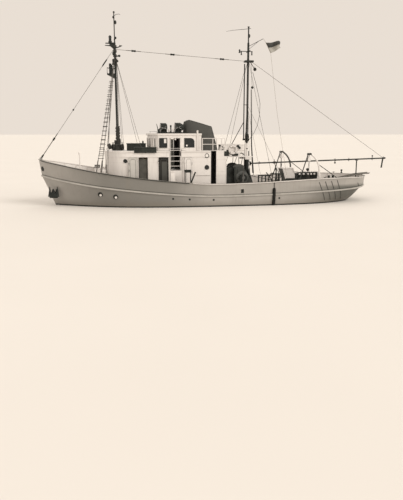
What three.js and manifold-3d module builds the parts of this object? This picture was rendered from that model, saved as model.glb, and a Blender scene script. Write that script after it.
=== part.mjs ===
// Fishing trawler with a long deckhouse, a raised wheelhouse, two masts and side gallows.
// Millimetres. +X points to the bow, +Y to port, +Z up; the origin is on the waterline amidships.
import * as THREE from "three";
import { mergeVertices } from "three/addons/utils/BufferGeometryUtils.js";
import Module from "manifold-3d";

const wasm = await Module();
wasm.setup();

// Driving dimensions
const GAP = 0.3;
const RUNNING_GAP = 0.7;
const WALL = 60;
const BULWARK = 60;
const CAP_WIDTH = 120;
const CAP_HEIGHT = 40;
const KEEL_HALF = 90;
const HOUSE_HALF = 1800;
const HOUSE_AFT = 200;
const HOUSE_ROOF = 3050;
const ROOF_SLAB = 80;
const FASCIA_LOW = 2790;
const WHEELHOUSE_HALF = 1450;
const WHEELHOUSE_FLOOR = 2030;
const WHEELHOUSE_TOP = 4010;
const WHEELHOUSE_ROOF_SLAB = 100;
const WINDOW_LOW = 3320;
const WINDOW_HIGH = 3840;
const FOREMAST_X = 5450;
const MAINMAST_X = -2380;
const MAST_RADIUS = 62;
const TOPMAST_RADIUS = 30;
const FOREMAST_TOP = 10810;
const MAINMAST_TOP = 10270;
const WIRE = 10;
const WINCH_X = -1890;
const WINCH_Z = 1510;
const RUDDER_X = -8200;
const PROPELLER_X = -7620;
const PROPELLER_Z = -1420;
const PROPELLER_RADIUS = 560;
const GALLOWS_Y = 2200;
const BOOM_Z = 2300;

const COLOURS = {
  hull: 0x9d9a92,
  white: 0xe6dfd0,
  dark: 0x23241f,
  funnel: 0x55554f,
  leaf: 0x8b8a84,
  bronze: 0x9a7440,
};

// Solids from geometries
function solid(geometry) {
  geometry.deleteAttribute("normal");
  geometry.deleteAttribute("uv");
  const merged = mergeVertices(geometry, 1e-3);
  return new wasm.Manifold(
    new wasm.Mesh({
      numProp: 3,
      vertProperties: merged.attributes.position.array,
      triVerts: new Uint32Array(merged.index.array),
    }),
  );
}

function box([x0, x1], [y0, y1], [z0, z1]) {
  const geometry = new THREE.BoxGeometry(x1 - x0, y1 - y0, z1 - z0);
  geometry.translate((x0 + x1) / 2, (y0 + y1) / 2, (z0 + z1) / 2);
  return solid(geometry);
}

function rod(from, to, radius, sides = 8, endRadius = radius) {
  const a = new THREE.Vector3(...from);
  const b = new THREE.Vector3(...to);
  const geometry = new THREE.CylinderGeometry(endRadius, radius, a.distanceTo(b), sides);
  const up = new THREE.Vector3(0, 1, 0);
  const along = b.clone().sub(a).normalize();
  geometry.applyQuaternion(new THREE.Quaternion().setFromUnitVectors(up, along));
  const middle = a.add(b).multiplyScalar(0.5);
  geometry.translate(middle.x, middle.y, middle.z);
  return solid(geometry);
}

// A round bar along a smooth or a straight-sided run of points
function bar(points, radius, steps, sides = 8, tension = 0.5) {
  const places = points.map((p) => new THREE.Vector3(...p));
  const path = new THREE.CatmullRomCurve3(places, false, "catmullrom", tension);
  const outline = Array.from({ length: sides }, (_, i) => {
    const angle = (2 * Math.PI * i) / sides;
    return [radius * Math.cos(angle), radius * Math.sin(angle)];
  });
  const run = { steps, extrudePath: path, bevelEnabled: false };
  return solid(new THREE.ExtrudeGeometry(shapeOf(outline), run));
}

function shapeOf(points) {
  return new THREE.Shape(points.map(([a, b]) => new THREE.Vector2(a, b)));
}

// A plan outline (x, y) raised between two heights
function planPlate(points, z0, z1) {
  const geometry = new THREE.ExtrudeGeometry(shapeOf(points), { depth: z1 - z0, bevelEnabled: false });
  geometry.translate(0, 0, z0);
  return solid(geometry);
}

// A side outline (x, z) spread between two breadths
function sidePlate(points, y0, y1) {
  const geometry = new THREE.ExtrudeGeometry(shapeOf(points), { depth: y1 - y0, bevelEnabled: false });
  geometry.rotateX(Math.PI / 2);
  geometry.translate(0, y1, 0);
  return solid(geometry);
}

// A closed skin through rings of points, capped at both ends
function loft(rings) {
  const count = rings[0].length;
  const position = rings.flat(2);
  const index = [];
  for (let i = 0; i < rings.length - 1; i += 1) {
    for (let j = 0; j < count; j += 1) {
      const a = i * count + j;
      const b = i * count + ((j + 1) % count);
      index.push(a, b, a + count, b, b + count, a + count);
    }
  }
  [0, rings.length - 1].forEach((end) => {
    const centre = [0, 1, 2].map((k) => rings[end].reduce((sum, p) => sum + p[k], 0) / count);
    const middle = position.length / 3;
    position.push(...centre);
    for (let j = 0; j < count; j += 1) {
      const a = end * count + j;
      const b = end * count + ((j + 1) % count);
      index.push(...(end === 0 ? [b, a, middle] : [a, b, middle]));
    }
  });
  const geometry = new THREE.BufferGeometry();
  geometry.setAttribute("position", new THREE.Float32BufferAttribute(position, 3));
  geometry.setIndex(index);
  return solid(geometry);
}

// Rows with smooth ones put in between, each column on a curve through its values
function faired(rows, steps) {
  const row = (i) => rows[Math.min(rows.length - 1, Math.max(0, i))];
  const between = (i, t) =>
    row(i).map((here, k) => {
      const before = row(i - 1)[k];
      const next = row(i + 1)[k];
      const after = row(i + 2)[k];
      const slope = next - before;
      const bend = 2 * before - 5 * here + 4 * next - after;
      const twist = 3 * (here - next) + after - before;
      return here + (t * (slope + t * (bend + t * twist))) / 2;
    });
  const shares = Array.from({ length: steps }, (_, s) => s / steps);
  const inner = rows.slice(0, -1).flatMap((_, i) => shares.map((t) => between(i, t)));
  return [...inner, rows.at(-1)];
}

function join(parts) {
  return parts.reduce((all, part) => all.add(part));
}

function cut(body, tools) {
  return tools.reduce((left, tool) => left.subtract(tool), body);
}

function mirrored(body) {
  return body.mirror([0, 1, 0]);
}

// A round hole in which a shaft of this radius turns freely
function boreFor(from, to, radius, sides = 20) {
  return rod(from, to, (radius + RUNNING_GAP) / Math.cos(Math.PI / sides), sides);
}

// A piece trimmed to end a hair's breadth from its neighbour, which lies against this direction
function seatedOn(body, neighbour, away) {
  const shift = new THREE.Vector3(...away).setLength(2 * GAP);
  return body.subtract(neighbour.translate(shift.toArray()));
}

const root = new THREE.Group();
root.name = "fishing_trawler";

function add(name, body, colour) {
  const mesh = body.getMesh();
  const geometry = new THREE.BufferGeometry();
  const stride = mesh.numProp;
  const position = new Float32Array(mesh.numVert * 3);
  for (let i = 0; i < mesh.numVert; i += 1) {
    position.set(mesh.vertProperties.subarray(i * stride, i * stride + 3), i * 3);
  }
  geometry.setAttribute("position", new THREE.BufferAttribute(position, 3));
  geometry.setIndex(new THREE.BufferAttribute(new Uint32Array(mesh.triVerts), 1));
  geometry.computeVertexNormals();
  const material = new THREE.MeshStandardMaterial({ color: COLOURS[colour] });
  const node = new THREE.Mesh(geometry, material);
  node.name = name;
  root.add(node);
}

function addPair(name, body, colour) {
  add(`${name}_port`, body, colour);
  add(`${name}_starboard`, mirrored(body), colour);
}

// Hull stations: x, bottom, deck, then the half-breadth at four levels from the bottom to the deck
const LEVELS = [0.15, 0.4, 0.7, 1];
const STATIONS = [
  [-9980, 900, 1000, 100, 180, 270, 340],
  [-9750, 800, 990, 280, 460, 660, 820],
  [-9400, 580, 970, 450, 800, 1120, 1320],
  [-9100, 100, 950, 400, 950, 1400, 1660],
  [-8600, -380, 920, 420, 1150, 1720, 1980],
  [-7600, -660, 860, 550, 1500, 2100, 2280],
  [-6200, -1050, 800, 750, 1850, 2340, 2470],
  [-4200, -1500, 730, 1000, 2150, 2520, 2600],
  [-2000, -1720, 680, 1250, 2300, 2610, 2660],
  [500, -1780, 670, 1350, 2340, 2630, 2670],
  [3000, -1780, 830, 1200, 2180, 2540, 2620],
  [5000, -1760, 1030, 850, 1750, 2280, 2450],
  [6600, -1720, 1220, 500, 1200, 1800, 2120],
  [7800, -1450, 1400, 260, 750, 1250, 1660],
  [8600, -800, 1530, 180, 480, 830, 1180],
  [9150, 0, 1630, 140, 320, 550, 780],
  [9550, 1000, 1710, 110, 200, 310, 420],
  [9860, 1700, 1770, 40, 45, 48, 50],
];

// Rail over each station: x, half-breadth, height of the cap's top
const RAIL = [
  [-10000, 380, 1530],
  [-9790, 880, 1530],
  [-9430, 1380, 1530],
  [-9120, 1720, 1535],
  [-8600, 2020, 1540],
  [-7600, 2310, 1545],
  [-6200, 2500, 1520],
  [-4200, 2630, 1430],
  [-2000, 2680, 1340],
  [500, 2690, 1320],
  [3000, 2660, 1520],
  [5000, 2530, 1760],
  [6600, 2280, 2000],
  [7800, 1900, 2220],
  [8620, 1460, 2380],
  [9200, 1040, 2490],
  [9640, 620, 2570],
  [9980, 50, 2660],
];

const FAIRING_STEPS = 2;
const FAIRED_STATIONS = faired(STATIONS, FAIRING_STEPS);
const FAIRED_RAIL = faired(RAIL, FAIRING_STEPS);

// Height of the deck at a length along the hull
function deckAt(x) {
  const i = Math.max(1, FAIRED_STATIONS.findIndex((station) => station[0] >= x));
  const [x0, , z0] = FAIRED_STATIONS[i - 1];
  const [x1, , z1] = FAIRED_STATIONS[i];
  return z0 + ((z1 - z0) * (x - x0)) / (x1 - x0);
}

// One station of the port half, closed a little past the middle line
function halfRing([x, bottom, deck, ...halves]) {
  const garboard = [0, Math.min(KEEL_HALF, halves[0] / 2)];
  const section = faired([garboard, ...halves.map((half, i) => [LEVELS[i], half])], FAIRING_STEPS);
  const side = section.map(([level, half]) => [x, half, bottom + (deck - bottom) * level]);
  return [[x, -1, bottom], ...side, [x, -1, deck]];
}

const SKEG_X = -7300;
const HEEL = { x: -8750, top: -2080 };
const KEEL_LOW = -2200;
const STEM_CURVE = [
  [6000, KEEL_LOW],
  [7100, -1960],
  [7900, -1560],
  [8600, -860],
  [9140, -60],
];
const KEEL_OUTLINE = [
  [SKEG_X, -500],
  [SKEG_X, HEEL.top],
  [HEEL.x, HEEL.top],
  [HEEL.x, KEEL_LOW],
  ...faired(STEM_CURVE, 3),
  [8500, 0],
  [7000, -1000],
];
const FREEING_PORT = { x: -1480, half: 85, z: [760, 980] };
const STOCK = { radius: 45, top: 200 };
const SHAFT = { radius: 42, reach: 150 };
const ANCHOR_PIPE = { from: [9200, 730, 560], to: [8800, 200, 1360], radius: 75 };

const portHalf = loft(FAIRED_STATIONS.map(halfRing));
const hullBody = join([portHalf, mirrored(portHalf), sidePlate(KEEL_OUTLINE, -KEEL_HALF, KEEL_HALF)]);
const PINTLE = { radius: 28, low: -2150 };
const PINTLE_TOP = -2000;
const hull = cut(hullBody, [
  boreFor([RUDDER_X, 0, PINTLE_TOP], [RUDDER_X, 0, STOCK.top + 20], STOCK.radius),
  boreFor([RUDDER_X, 0, PINTLE.low], [RUDDER_X, 0, PINTLE_TOP], PINTLE.radius),
  boreFor([SKEG_X - 10, 0, PROPELLER_Z], [SKEG_X + SHAFT.reach, 0, PROPELLER_Z], SHAFT.radius),
  rod(ANCHOR_PIPE.from, ANCHOR_PIPE.to, ANCHOR_PIPE.radius, 14),
]);
add("hull", hull, "hull");

// A piece that stands on the deck, trimmed to its sheer
function onDeck(body) {
  return body.subtract(hull.translate([0, 0, GAP]));
}

// Walls that follow the deck edge
function inward(path, i) {
  const before = path[Math.max(0, i - 1)];
  const after = path[Math.min(path.length - 1, i + 1)];
  const dx = after[0] - before[0];
  const dy = after[1] - before[1];
  const length = Math.hypot(dx, dy);
  return [-dy / length, dx / length];
}

// The edge of the port half from the stem to the stern, closed on the middle line at both ends
function edgeOf(rows) {
  const ends = [rows.at(-1), rows[0]].map(([x, , z]) => [x, GAP / 2, z]);
  return [ends[0], ...rows.slice().reverse(), ends[1]];
}

const DECK_EDGE = edgeOf(FAIRED_STATIONS.map((station) => [station[0], station[6], station[2]]));
const RAIL_EDGE = edgeOf(FAIRED_RAIL);

function edgeNormal(path, i) {
  if (i === 0) return [-1, 0];
  if (i === path.length - 1) return [1, 0];
  return inward(path, i);
}

const bulwarkRings = DECK_EDGE.map((low, i) => {
  const high = RAIL_EDGE[i];
  const [nx, ny] = edgeNormal(DECK_EDGE, i);
  const [mx, my] = edgeNormal(RAIL_EDGE, i);
  const inLow = [low[0] + nx * BULWARK, Math.max(GAP / 2, low[1] + ny * BULWARK)];
  const inHigh = [high[0] + mx * BULWARK, Math.max(GAP / 2, high[1] + my * BULWARK)];
  return [
    [low[0], low[1], low[2] + GAP],
    [inLow[0], inLow[1], low[2] + GAP],
    [inHigh[0], inHigh[1], high[2] - CAP_HEIGHT / 2],
    [high[0], high[1], high[2] - CAP_HEIGHT / 2],
  ];
});

const capRings = RAIL_EDGE.map((edge, i) => {
  const [mx, my] = edgeNormal(RAIL_EDGE, i);
  const out = (CAP_WIDTH - BULWARK) / 2;
  const point = (offset, z) => [edge[0] + mx * offset, Math.max(GAP / 2, edge[1] + my * offset), z];
  return [
    point(-out, edge[2] - CAP_HEIGHT),
    point(CAP_WIDTH - out, edge[2] - CAP_HEIGHT),
    point(CAP_WIDTH - out, edge[2]),
    point(-out, edge[2]),
  ];
});
const freeingPort = box(
  [FREEING_PORT.x - FREEING_PORT.half, FREEING_PORT.x + FREEING_PORT.half],
  [2400, 2900],
  FREEING_PORT.z,
);
const bulwarkPort = loft(bulwarkRings).add(loft(capRings)).subtract(freeingPort);
const BULWARK_JOINT_X = 1500;
const BEYOND = 10500;
const bulwarkRun = (xs) => bulwarkPort.intersect(box(xs, [-10, 3000], [0, 3000]));
addPair("bulwark_fore", bulwarkRun([BULWARK_JOINT_X + GAP, BEYOND]), "hull");
addPair("bulwark_aft", bulwarkRun([-BEYOND, BULWARK_JOINT_X]), "hull");

// Rubbing strake along the deck edge
const STRAKE = { out: 45, inside: 40, low: 100, high: 20 };
const strakeRings = DECK_EDGE.map((edge, i) => {
  const [nx, ny] = edgeNormal(DECK_EDGE, i);
  const point = (offset, z) => [edge[0] + nx * offset, Math.max(GAP / 2, edge[1] + ny * offset), z];
  return [
    point(-STRAKE.out, edge[2] - STRAKE.low),
    point(STRAKE.inside, edge[2] - STRAKE.low),
    point(STRAKE.inside, edge[2] - STRAKE.high),
    point(-STRAKE.out, edge[2] - STRAKE.high),
  ];
});
const strake = cut(loft(strakeRings), [
  hull.translate([0, GAP, 0]),
  hull.translate([GAP, 0, 0]),
  hull.translate([-GAP, 0, 0]),
]);
addPair("rubbing_strake", strake, "white");

// Rudder and propeller
const RUDDER_OUTLINE = [
  [-8080, -2020],
  [-8080, -620],
  [-8300, -560],
  [-8880, -520],
  [-9060, -900],
  [-9000, -2020],
];
const rudder = join([
  sidePlate(RUDDER_OUTLINE, -35, 35),
  rod([RUDDER_X, 0, -700], [RUDDER_X, 0, STOCK.top], STOCK.radius, 16),
  rod([RUDDER_X, 0, PINTLE.low + GAP], [RUDDER_X, 0, -1900], PINTLE.radius, 16),
]);
add("rudder", rudder, "hull");

// Blade sections: radius, chord, pitch angle in degrees
const BLADE = [
  [60, 200, 62],
  [280, 330, 40],
  [460, 300, 30],
  [PROPELLER_RADIUS, 120, 26],
];
const BLADE_THICKNESS = 26;
const HUB = { radius: 95, front: PROPELLER_X + 300, back: PROPELLER_X - 160 };

function bladeRing([radius, chord, pitch]) {
  const angle = THREE.MathUtils.degToRad(pitch);
  const along = [Math.sin(angle), Math.cos(angle)];
  const across = [Math.cos(angle), -Math.sin(angle)];
  const corner = (c, t) => [
    PROPELLER_X + along[0] * c + across[0] * t,
    along[1] * c + across[1] * t,
    PROPELLER_Z + radius,
  ];
  const half = BLADE_THICKNESS / 2;
  return [corner(-chord / 2, 0), corner(0, -half), corner(chord / 2, 0), corner(0, half)];
}

const blade = loft(BLADE.map(bladeRing).reverse());
const hub = rod([HUB.front, 0, PROPELLER_Z], [HUB.back, 0, PROPELLER_Z], HUB.radius, 20, HUB.radius * 0.7);
const aboutShaft = (body, degrees) =>
  body
    .translate([0, 0, -PROPELLER_Z])
    .rotate([degrees, 0, 0])
    .translate([0, 0, PROPELLER_Z]);
const shaftEnd = rod(
  [PROPELLER_X, 0, PROPELLER_Z],
  [SKEG_X + SHAFT.reach - 5, 0, PROPELLER_Z],
  SHAFT.radius,
  16,
);
const propeller = join([hub, shaftEnd, ...[0, 90, 180, 270].map((a) => aboutShaft(blade, a))]);
add("propeller", propeller, "bronze");

// Deckhouse
const HOUSE_PLAN = [
  [HOUSE_AFT, -HOUSE_HALF],
  [4950, -HOUSE_HALF],
  [5480, -1670],
  [5880, -1330],
  [6130, -820],
  [6200, -280],
  [6200, 280],
  [6130, 820],
  [5880, 1330],
  [5480, 1670],
  [4950, HOUSE_HALF],
  [HOUSE_AFT, HOUSE_HALF],
];

// The outline moved towards or away from its middle line
function grown(plan, by, aft = by) {
  const middle = plan.reduce((sum, p) => sum + p[0], 0) / plan.length;
  return plan.map(([x, y], i) => {
    const prev = plan[(i + plan.length - 1) % plan.length];
    const next = plan[(i + 1) % plan.length];
    const dx = next[0] - prev[0];
    const dy = next[1] - prev[1];
    const length = Math.hypot(dx, dy);
    const corner = i === 0 || i === plan.length - 1;
    if (corner) return [x - aft, y + Math.sign(y) * by];
    const flat = Math.abs(y) === HOUSE_HALF && x > middle;
    return flat ? [x + by * 0.3, y + Math.sign(y) * by] : [x + (dy / length) * by, y - (dx / length) * by];
  });
}

const DOORWAYS = {
  fore: { x: [3850, 4360], z: [1120, 2780] },
  mid: { x: [2690, 3210], z: [1080, 2780] },
  aft: { x: [1290, 1730], z: [1000, 2780] },
};
const PORTHOLES = [
  [5110, 2590],
  [440, 2190],
  [440, 2860],
];
const PORTHOLE_RADIUS = 110;
const LANDING = { x: [1930, 2600], cheek: 40, slab: 50 };
const BULKHEADS = [
  [1560, 1620],
  [3720, 3780],
];
const WHEELHOUSE_PLAN = [
  [1620, -WHEELHOUSE_HALF],
  [3200, -WHEELHOUSE_HALF],
  [3560, -1000],
  [3680, -420],
  [3680, 420],
  [3560, 1000],
  [3200, WHEELHOUSE_HALF],
  [1620, WHEELHOUSE_HALF],
];

const houseOuter = planPlate(HOUSE_PLAN, 300, HOUSE_ROOF);
const houseInner = planPlate(grown(HOUSE_PLAN, -WALL), 200, HOUSE_ROOF + 10);
const fascia = planPlate(grown(HOUSE_PLAN, 25, 0), FASCIA_LOW, HOUSE_ROOF);
const floorLow = WHEELHOUSE_FLOOR - WALL;
const bulkheads = BULKHEADS.map((xs) => box(xs, [-HOUSE_HALF + 30, HOUSE_HALF - 30], [300, floorLow - GAP]));
const HINGE_LUG = { half: 14, reach: 1872, height: 60 };

const LUG_ZS = [1250, 2480];

function lugsFor(axisX) {
  const xs = [axisX - HINGE_LUG.half, axisX + HINGE_LUG.half];
  return LUG_ZS.map((z) => box(xs, [HOUSE_HALF - 20, HINGE_LUG.reach], [z, z + HINGE_LUG.height]));
}

const landingHole = box(LANDING.x, [WHEELHOUSE_HALF, HOUSE_HALF + 100], [WHEELHOUSE_FLOOR, HOUSE_ROOF + 200]);
const LANDING_YS = [WHEELHOUSE_HALF + GAP, HOUSE_HALF - 20];
const LANDING_LOW = WHEELHOUSE_FLOOR - LANDING.slab;
const landingFloor = box(
  [LANDING.x[0] - LANDING.cheek, LANDING.x[1] + LANDING.cheek],
  LANDING_YS,
  [LANDING_LOW, WHEELHOUSE_FLOOR],
);
const landingCheeks = [
  [LANDING.x[0] - LANDING.cheek, LANDING.x[0]],
  [LANDING.x[1], LANDING.x[1] + LANDING.cheek],
].map((xs) => box(xs, LANDING_YS, [LANDING_LOW, HOUSE_ROOF]));
const portLugs = [4400, 3250, 1770].flatMap(lugsFor);
const landings = [landingFloor, ...landingCheeks];
const houseWalls = join([
  houseOuter.subtract(houseInner),
  fascia.subtract(houseInner),
  ...bulkheads,
  ...landings,
  ...landings.map(mirrored),
  ...portLugs,
  ...portLugs.map(mirrored),
]);
const houseCuts = [
  ...Object.values(DOORWAYS).map(({ x, z }) => box(x, [HOUSE_HALF - 120, HOUSE_HALF + 20], z)),
  ...PORTHOLES.map(([x, z]) => rod([x, HOUSE_HALF - 400, z], [x, HOUSE_HALF + 60, z], PORTHOLE_RADIUS, 20)),
  landingHole,
];
const house = onDeck(cut(houseWalls, [...houseCuts, ...houseCuts.map(mirrored)]));
add("deckhouse", house, "white");

// The wheelhouse outline moved outwards, or inwards where negative
function aroundWheelhouse(by) {
  return WHEELHOUSE_PLAN.map(([x, y]) => [x + (x > 2000 ? by : -by), y + Math.sign(y) * by]);
}

const wheelhouseHole = planPlate(aroundWheelhouse(10), HOUSE_ROOF - 100, HOUSE_ROOF + 400);
const ROOF_TOP = HOUSE_ROOF + GAP + ROOF_SLAB;
const FUNNEL = { middle: 510, halfLength: 1070, halfWidth: 500 };
const houseRoof = cut(planPlate(grown(HOUSE_PLAN, 50, 0), HOUSE_ROOF + GAP, ROOF_TOP), [
  wheelhouseHole,
  landingHole,
  mirrored(landingHole),
]);
const ROOF_JOINT_X = 2200;
const roofHalf = (xs) => houseRoof.intersect(box(xs, [-2000, 2000], [HOUSE_ROOF, ROOF_TOP + 10]));
add("deckhouse_roof_fore", roofHalf([ROOF_JOINT_X, 6500]), "white");
add("deckhouse_roof_aft", roofHalf([0, ROOF_JOINT_X]), "white");

// Engine casing abaft the house, with the passage between them
const CASING = { x: [-740, -130], half: 1700, neck: 600 };
const casing = onDeck(
  join([
    box(CASING.x, [-CASING.half, CASING.half], [300, ROOF_TOP]),
    box([CASING.x[1] - 20, HOUSE_AFT - GAP], [-CASING.neck, CASING.neck], [300, ROOF_TOP]),
    box([CASING.x[1] - 20, HOUSE_AFT - GAP - 60], [-CASING.half, CASING.half], [ROOF_TOP - 40, ROOF_TOP]),
  ]),
);
add("engine_casing", casing, "white");

// Wheelhouse with its side screens
const wheelhouseOuter = planPlate(WHEELHOUSE_PLAN, floorLow, WHEELHOUSE_TOP);
const wheelhouseInner = planPlate(aroundWheelhouse(-WALL), WHEELHOUSE_FLOOR, WHEELHOUSE_TOP + 10);
const SCREEN_AFT = 700;
const SCREEN_YS = [WHEELHOUSE_HALF - WALL, WHEELHOUSE_HALF];
const screen = box([SCREEN_AFT, 1640], SCREEN_YS, [ROOF_TOP + GAP, WHEELHOUSE_TOP]);
const screenWindow = sidePlate(
  [
    [1110, WINDOW_LOW],
    [1580, WINDOW_LOW],
    [1580, WINDOW_HIGH],
    [1290, WINDOW_HIGH],
    [1180, WINDOW_HIGH - 50],
    [1110, WINDOW_HIGH - 170],
  ],
  WHEELHOUSE_HALF - 200,
  WHEELHOUSE_HALF + 200,
);
const WHEELHOUSE_DOOR = { x: [1945, 2500], z: [2060, 3840] };
const wheelhouseCuts = [
  box([2700, 3130], [WHEELHOUSE_HALF - 200, WHEELHOUSE_HALF + 100], [WINDOW_LOW, WINDOW_HIGH]),
  box(WHEELHOUSE_DOOR.x, [WHEELHOUSE_HALF - 200, WHEELHOUSE_HALF + 100], WHEELHOUSE_DOOR.z),
  screenWindow,
];

// A front window through the wall between two corners of the plan
function frontWindow([x0, y0], [x1, y1], margin) {
  const length = Math.hypot(x1 - x0, y1 - y0);
  const ux = (x1 - x0) / length;
  const uy = (y1 - y0) / length;
  const at = (s, t) => [x0 + ux * s - uy * t, y0 + uy * s + ux * t];
  return planPlate(
    [at(margin, -120), at(length - margin, -120), at(length - margin, 120), at(margin, 120)],
    WINDOW_LOW,
    WINDOW_HIGH,
  );
}

const PILLAR = 70;
const frontWindows = [1, 2, 3, 4, 5].map((i) =>
  frontWindow(WHEELHOUSE_PLAN[i], WHEELHOUSE_PLAN[i + 1], PILLAR),
);
const WHEELHOUSE_HINGE = [2492.5, 1362.5];
const LEAF_LOW = 2075;
const doorPin = rod(
  [...WHEELHOUSE_HINGE, WHEELHOUSE_FLOOR - 20],
  [...WHEELHOUSE_HINGE, LEAF_LOW - GAP],
  14,
  10,
);
const HELM = { x: 2930, z: 2960, radius: 300, rim: 22, spokes: 8 };
const console = box([3010, 3420], [-380, 380], [floorLow + 20, 3080]);
const wheelhouseWalls = wheelhouseOuter.subtract(wheelhouseInner);
const wheelhouse = cut(
  join([wheelhouseWalls, screen, mirrored(screen), console, doorPin, mirrored(doorPin)]),
  [...wheelhouseCuts, ...wheelhouseCuts.map(mirrored), ...frontWindows],
);
add("wheelhouse", wheelhouse, "white");

const ROOF_PLAN = [
  [SCREEN_AFT - 20, -WHEELHOUSE_HALF - 30],
  [3230, -WHEELHOUSE_HALF - 30],
  [3620, -1020],
  [3740, -430],
  [3740, 430],
  [3620, 1020],
  [3230, WHEELHOUSE_HALF + 30],
  [SCREEN_AFT - 20, WHEELHOUSE_HALF + 30],
  [SCREEN_AFT - 20, 620],
  [1640, 620],
  [1640, -620],
  [SCREEN_AFT - 20, -620],
];
const WHEELHOUSE_ROOF = WHEELHOUSE_TOP + GAP + WHEELHOUSE_ROOF_SLAB;
add("wheelhouse_roof", planPlate(ROOF_PLAN, WHEELHOUSE_TOP + GAP, WHEELHOUSE_ROOF), "white");

// Funnel, raked along its top
const FUNNEL_SIDE = [
  [-530, ROOF_TOP + GAP],
  [1580, ROOF_TOP + GAP],
  [1540, 4660],
  [1430, 4820],
  [1250, 4890],
  [-110, 4500],
];
const FUNNEL_SIDES = 28;
const funnelPlan = Array.from({ length: FUNNEL_SIDES }, (_, i) => {
  const a = (2 * Math.PI * i) / FUNNEL_SIDES;
  return [FUNNEL.middle + FUNNEL.halfLength * Math.cos(a), FUNNEL.halfWidth * Math.sin(a)];
});
add("funnel", planPlate(funnelPlan, ROOF_TOP, 5000).intersect(sidePlate(FUNNEL_SIDE, -600, 600)), "funnel");

// Doors. The fore ones lie open against the wall, the mid ones stand open inwards
const LEAF = 40;
const FORE_HINGE = [4400, 1860];
const KNUCKLE = { radius: 12, height: 50 };
const KNUCKLES = LUG_ZS.map((z) => z + HINGE_LUG.height + GAP);

// A leaf with a knuckle at each height on its hinge line
function hungLeaf(xs, ys, zs, [hingeX, hingeY], knuckles) {
  const hungFore = Math.abs(xs[0] - hingeX) > Math.abs(xs[1] - hingeX);
  const near = hungFore ? xs[1] - KNUCKLE.radius : xs[0] + KNUCKLE.radius;
  const strap = {
    x: [Math.min(hingeX, near), Math.max(hingeX, near)],
    y: [Math.min(hingeY, ys[0]), Math.max(hingeY, ys[0] + KNUCKLE.radius)],
  };
  const fittings = knuckles.flatMap((low) => [
    rod([hingeX, hingeY, low], [hingeX, hingeY, low + KNUCKLE.height], KNUCKLE.radius, 12),
    box(strap.x, strap.y, [low, low + KNUCKLE.height]),
  ]);
  return join([box(xs, ys, zs), ...fittings]);
}

const foreLeaf = hungLeaf([4440, 4950], [1872, 1872 + LEAF], [1140, 2770], FORE_HINGE, KNUCKLES);
addPair("fore_door", foreLeaf, "leaf");

const MID_HINGE = [3250, 1860];
const midLeaf = hungLeaf([2670, 3220], [1808, 1808 + LEAF], [1090, 2770], MID_HINGE, KNUCKLES);
addPair("mid_door", midLeaf, "leaf");

const AFT_HINGE = [1770, 1860];
const aftLeaf = hungLeaf([1270, 1740], [1808, 1808 + LEAF], [1010, 2770], AFT_HINGE, KNUCKLES);
addPair("aft_door", aftLeaf, "white");

const wheelLeaf = box([2475, 2510], [800, 1380], [LEAF_LOW, 3830]);
addPair("wheelhouse_door", wheelLeaf, "leaf");

// Helm on the face of the console
const rimGeometry = new THREE.TorusGeometry(HELM.radius, HELM.rim, 6, 24);
rimGeometry.rotateY(Math.PI / 2);
rimGeometry.translate(HELM.x, 0, HELM.z);
const spokes = Array.from({ length: HELM.spokes }, (_, i) => {
  const a = (2 * Math.PI * i) / HELM.spokes;
  const reach = HELM.radius + 90;
  return rod([HELM.x, 0, HELM.z], [HELM.x, reach * Math.sin(a), HELM.z + reach * Math.cos(a)], 12, 6);
});
add(
  "helm",
  join([solid(rimGeometry), ...spokes, rod([HELM.x - 40, 0, HELM.z], [3010 - GAP, 0, HELM.z], 45, 12)]),
  "leaf",
);

// Guard rails of the landings and of the house top
const POST = 20;
const LANDING_RAIL_Z = [2280, 2560, 2840];
const landingRail = join([
  ...[LANDING.x[0] + 30, LANDING.x[1] - 30].map((x) =>
    rod([x, HOUSE_HALF - 30, WHEELHOUSE_FLOOR + GAP], [x, HOUSE_HALF - 30, LANDING_RAIL_Z[2]], POST),
  ),
  ...LANDING_RAIL_Z.map((z) =>
    rod([LANDING.x[0] + 30, HOUSE_HALF - 30, z], [LANDING.x[1] - 30, HOUSE_HALF - 30, z], POST * 0.8),
  ),
]);
addPair("landing_rail", landingRail, "white");

const TOP_RAIL_Z = [3500, 3830];
const topRail = join([
  ...TOP_RAIL_Z.flatMap((z) => [
    rod([690, 1650, z], [-650, 1650, z], POST * 0.8),
    rod([-640, 1650, z], [-640, 720, z], POST * 0.8),
  ]),
  ...[
    [670, 1650],
    [60, 1650],
    [-640, 1650],
    [-640, 730],
  ].map(([x, y]) => rod([x, y, ROOF_TOP + GAP], [x, y, TOP_RAIL_Z[1]], POST)),
]);
addPair("house_top_rail", topRail, "white");

// Lockers on the house top
const LOCKERS = {
  fore: { x: [3860, 4930], y: [150, 850], top: 3540 },
  aft: { x: [3350, 4580], y: [1500, 1820], top: 3340 },
};
Object.entries(LOCKERS).forEach(([place, { x, y, top }]) => {
  add(`locker_${place}`, box(x, y, [ROOF_TOP + GAP, top]), "dark");
});

// Searchlights on the wheelhouse roof
function searchlight(x, z) {
  const y = 380;
  return join([
    rod([x, y, WHEELHOUSE_ROOF + GAP], [x, y, WHEELHOUSE_ROOF + 30], 130, 16),
    rod([x, y, WHEELHOUSE_ROOF + GAP], [x, y, z - 100], 35, 12),
    rod([x - 130, y, z], [x + 170, y, z], 250, 20),
  ]);
}
add("searchlight_fore", searchlight(2750, 4450), "dark");
add("searchlight_aft", searchlight(1900, 4470), "dark");

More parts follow.
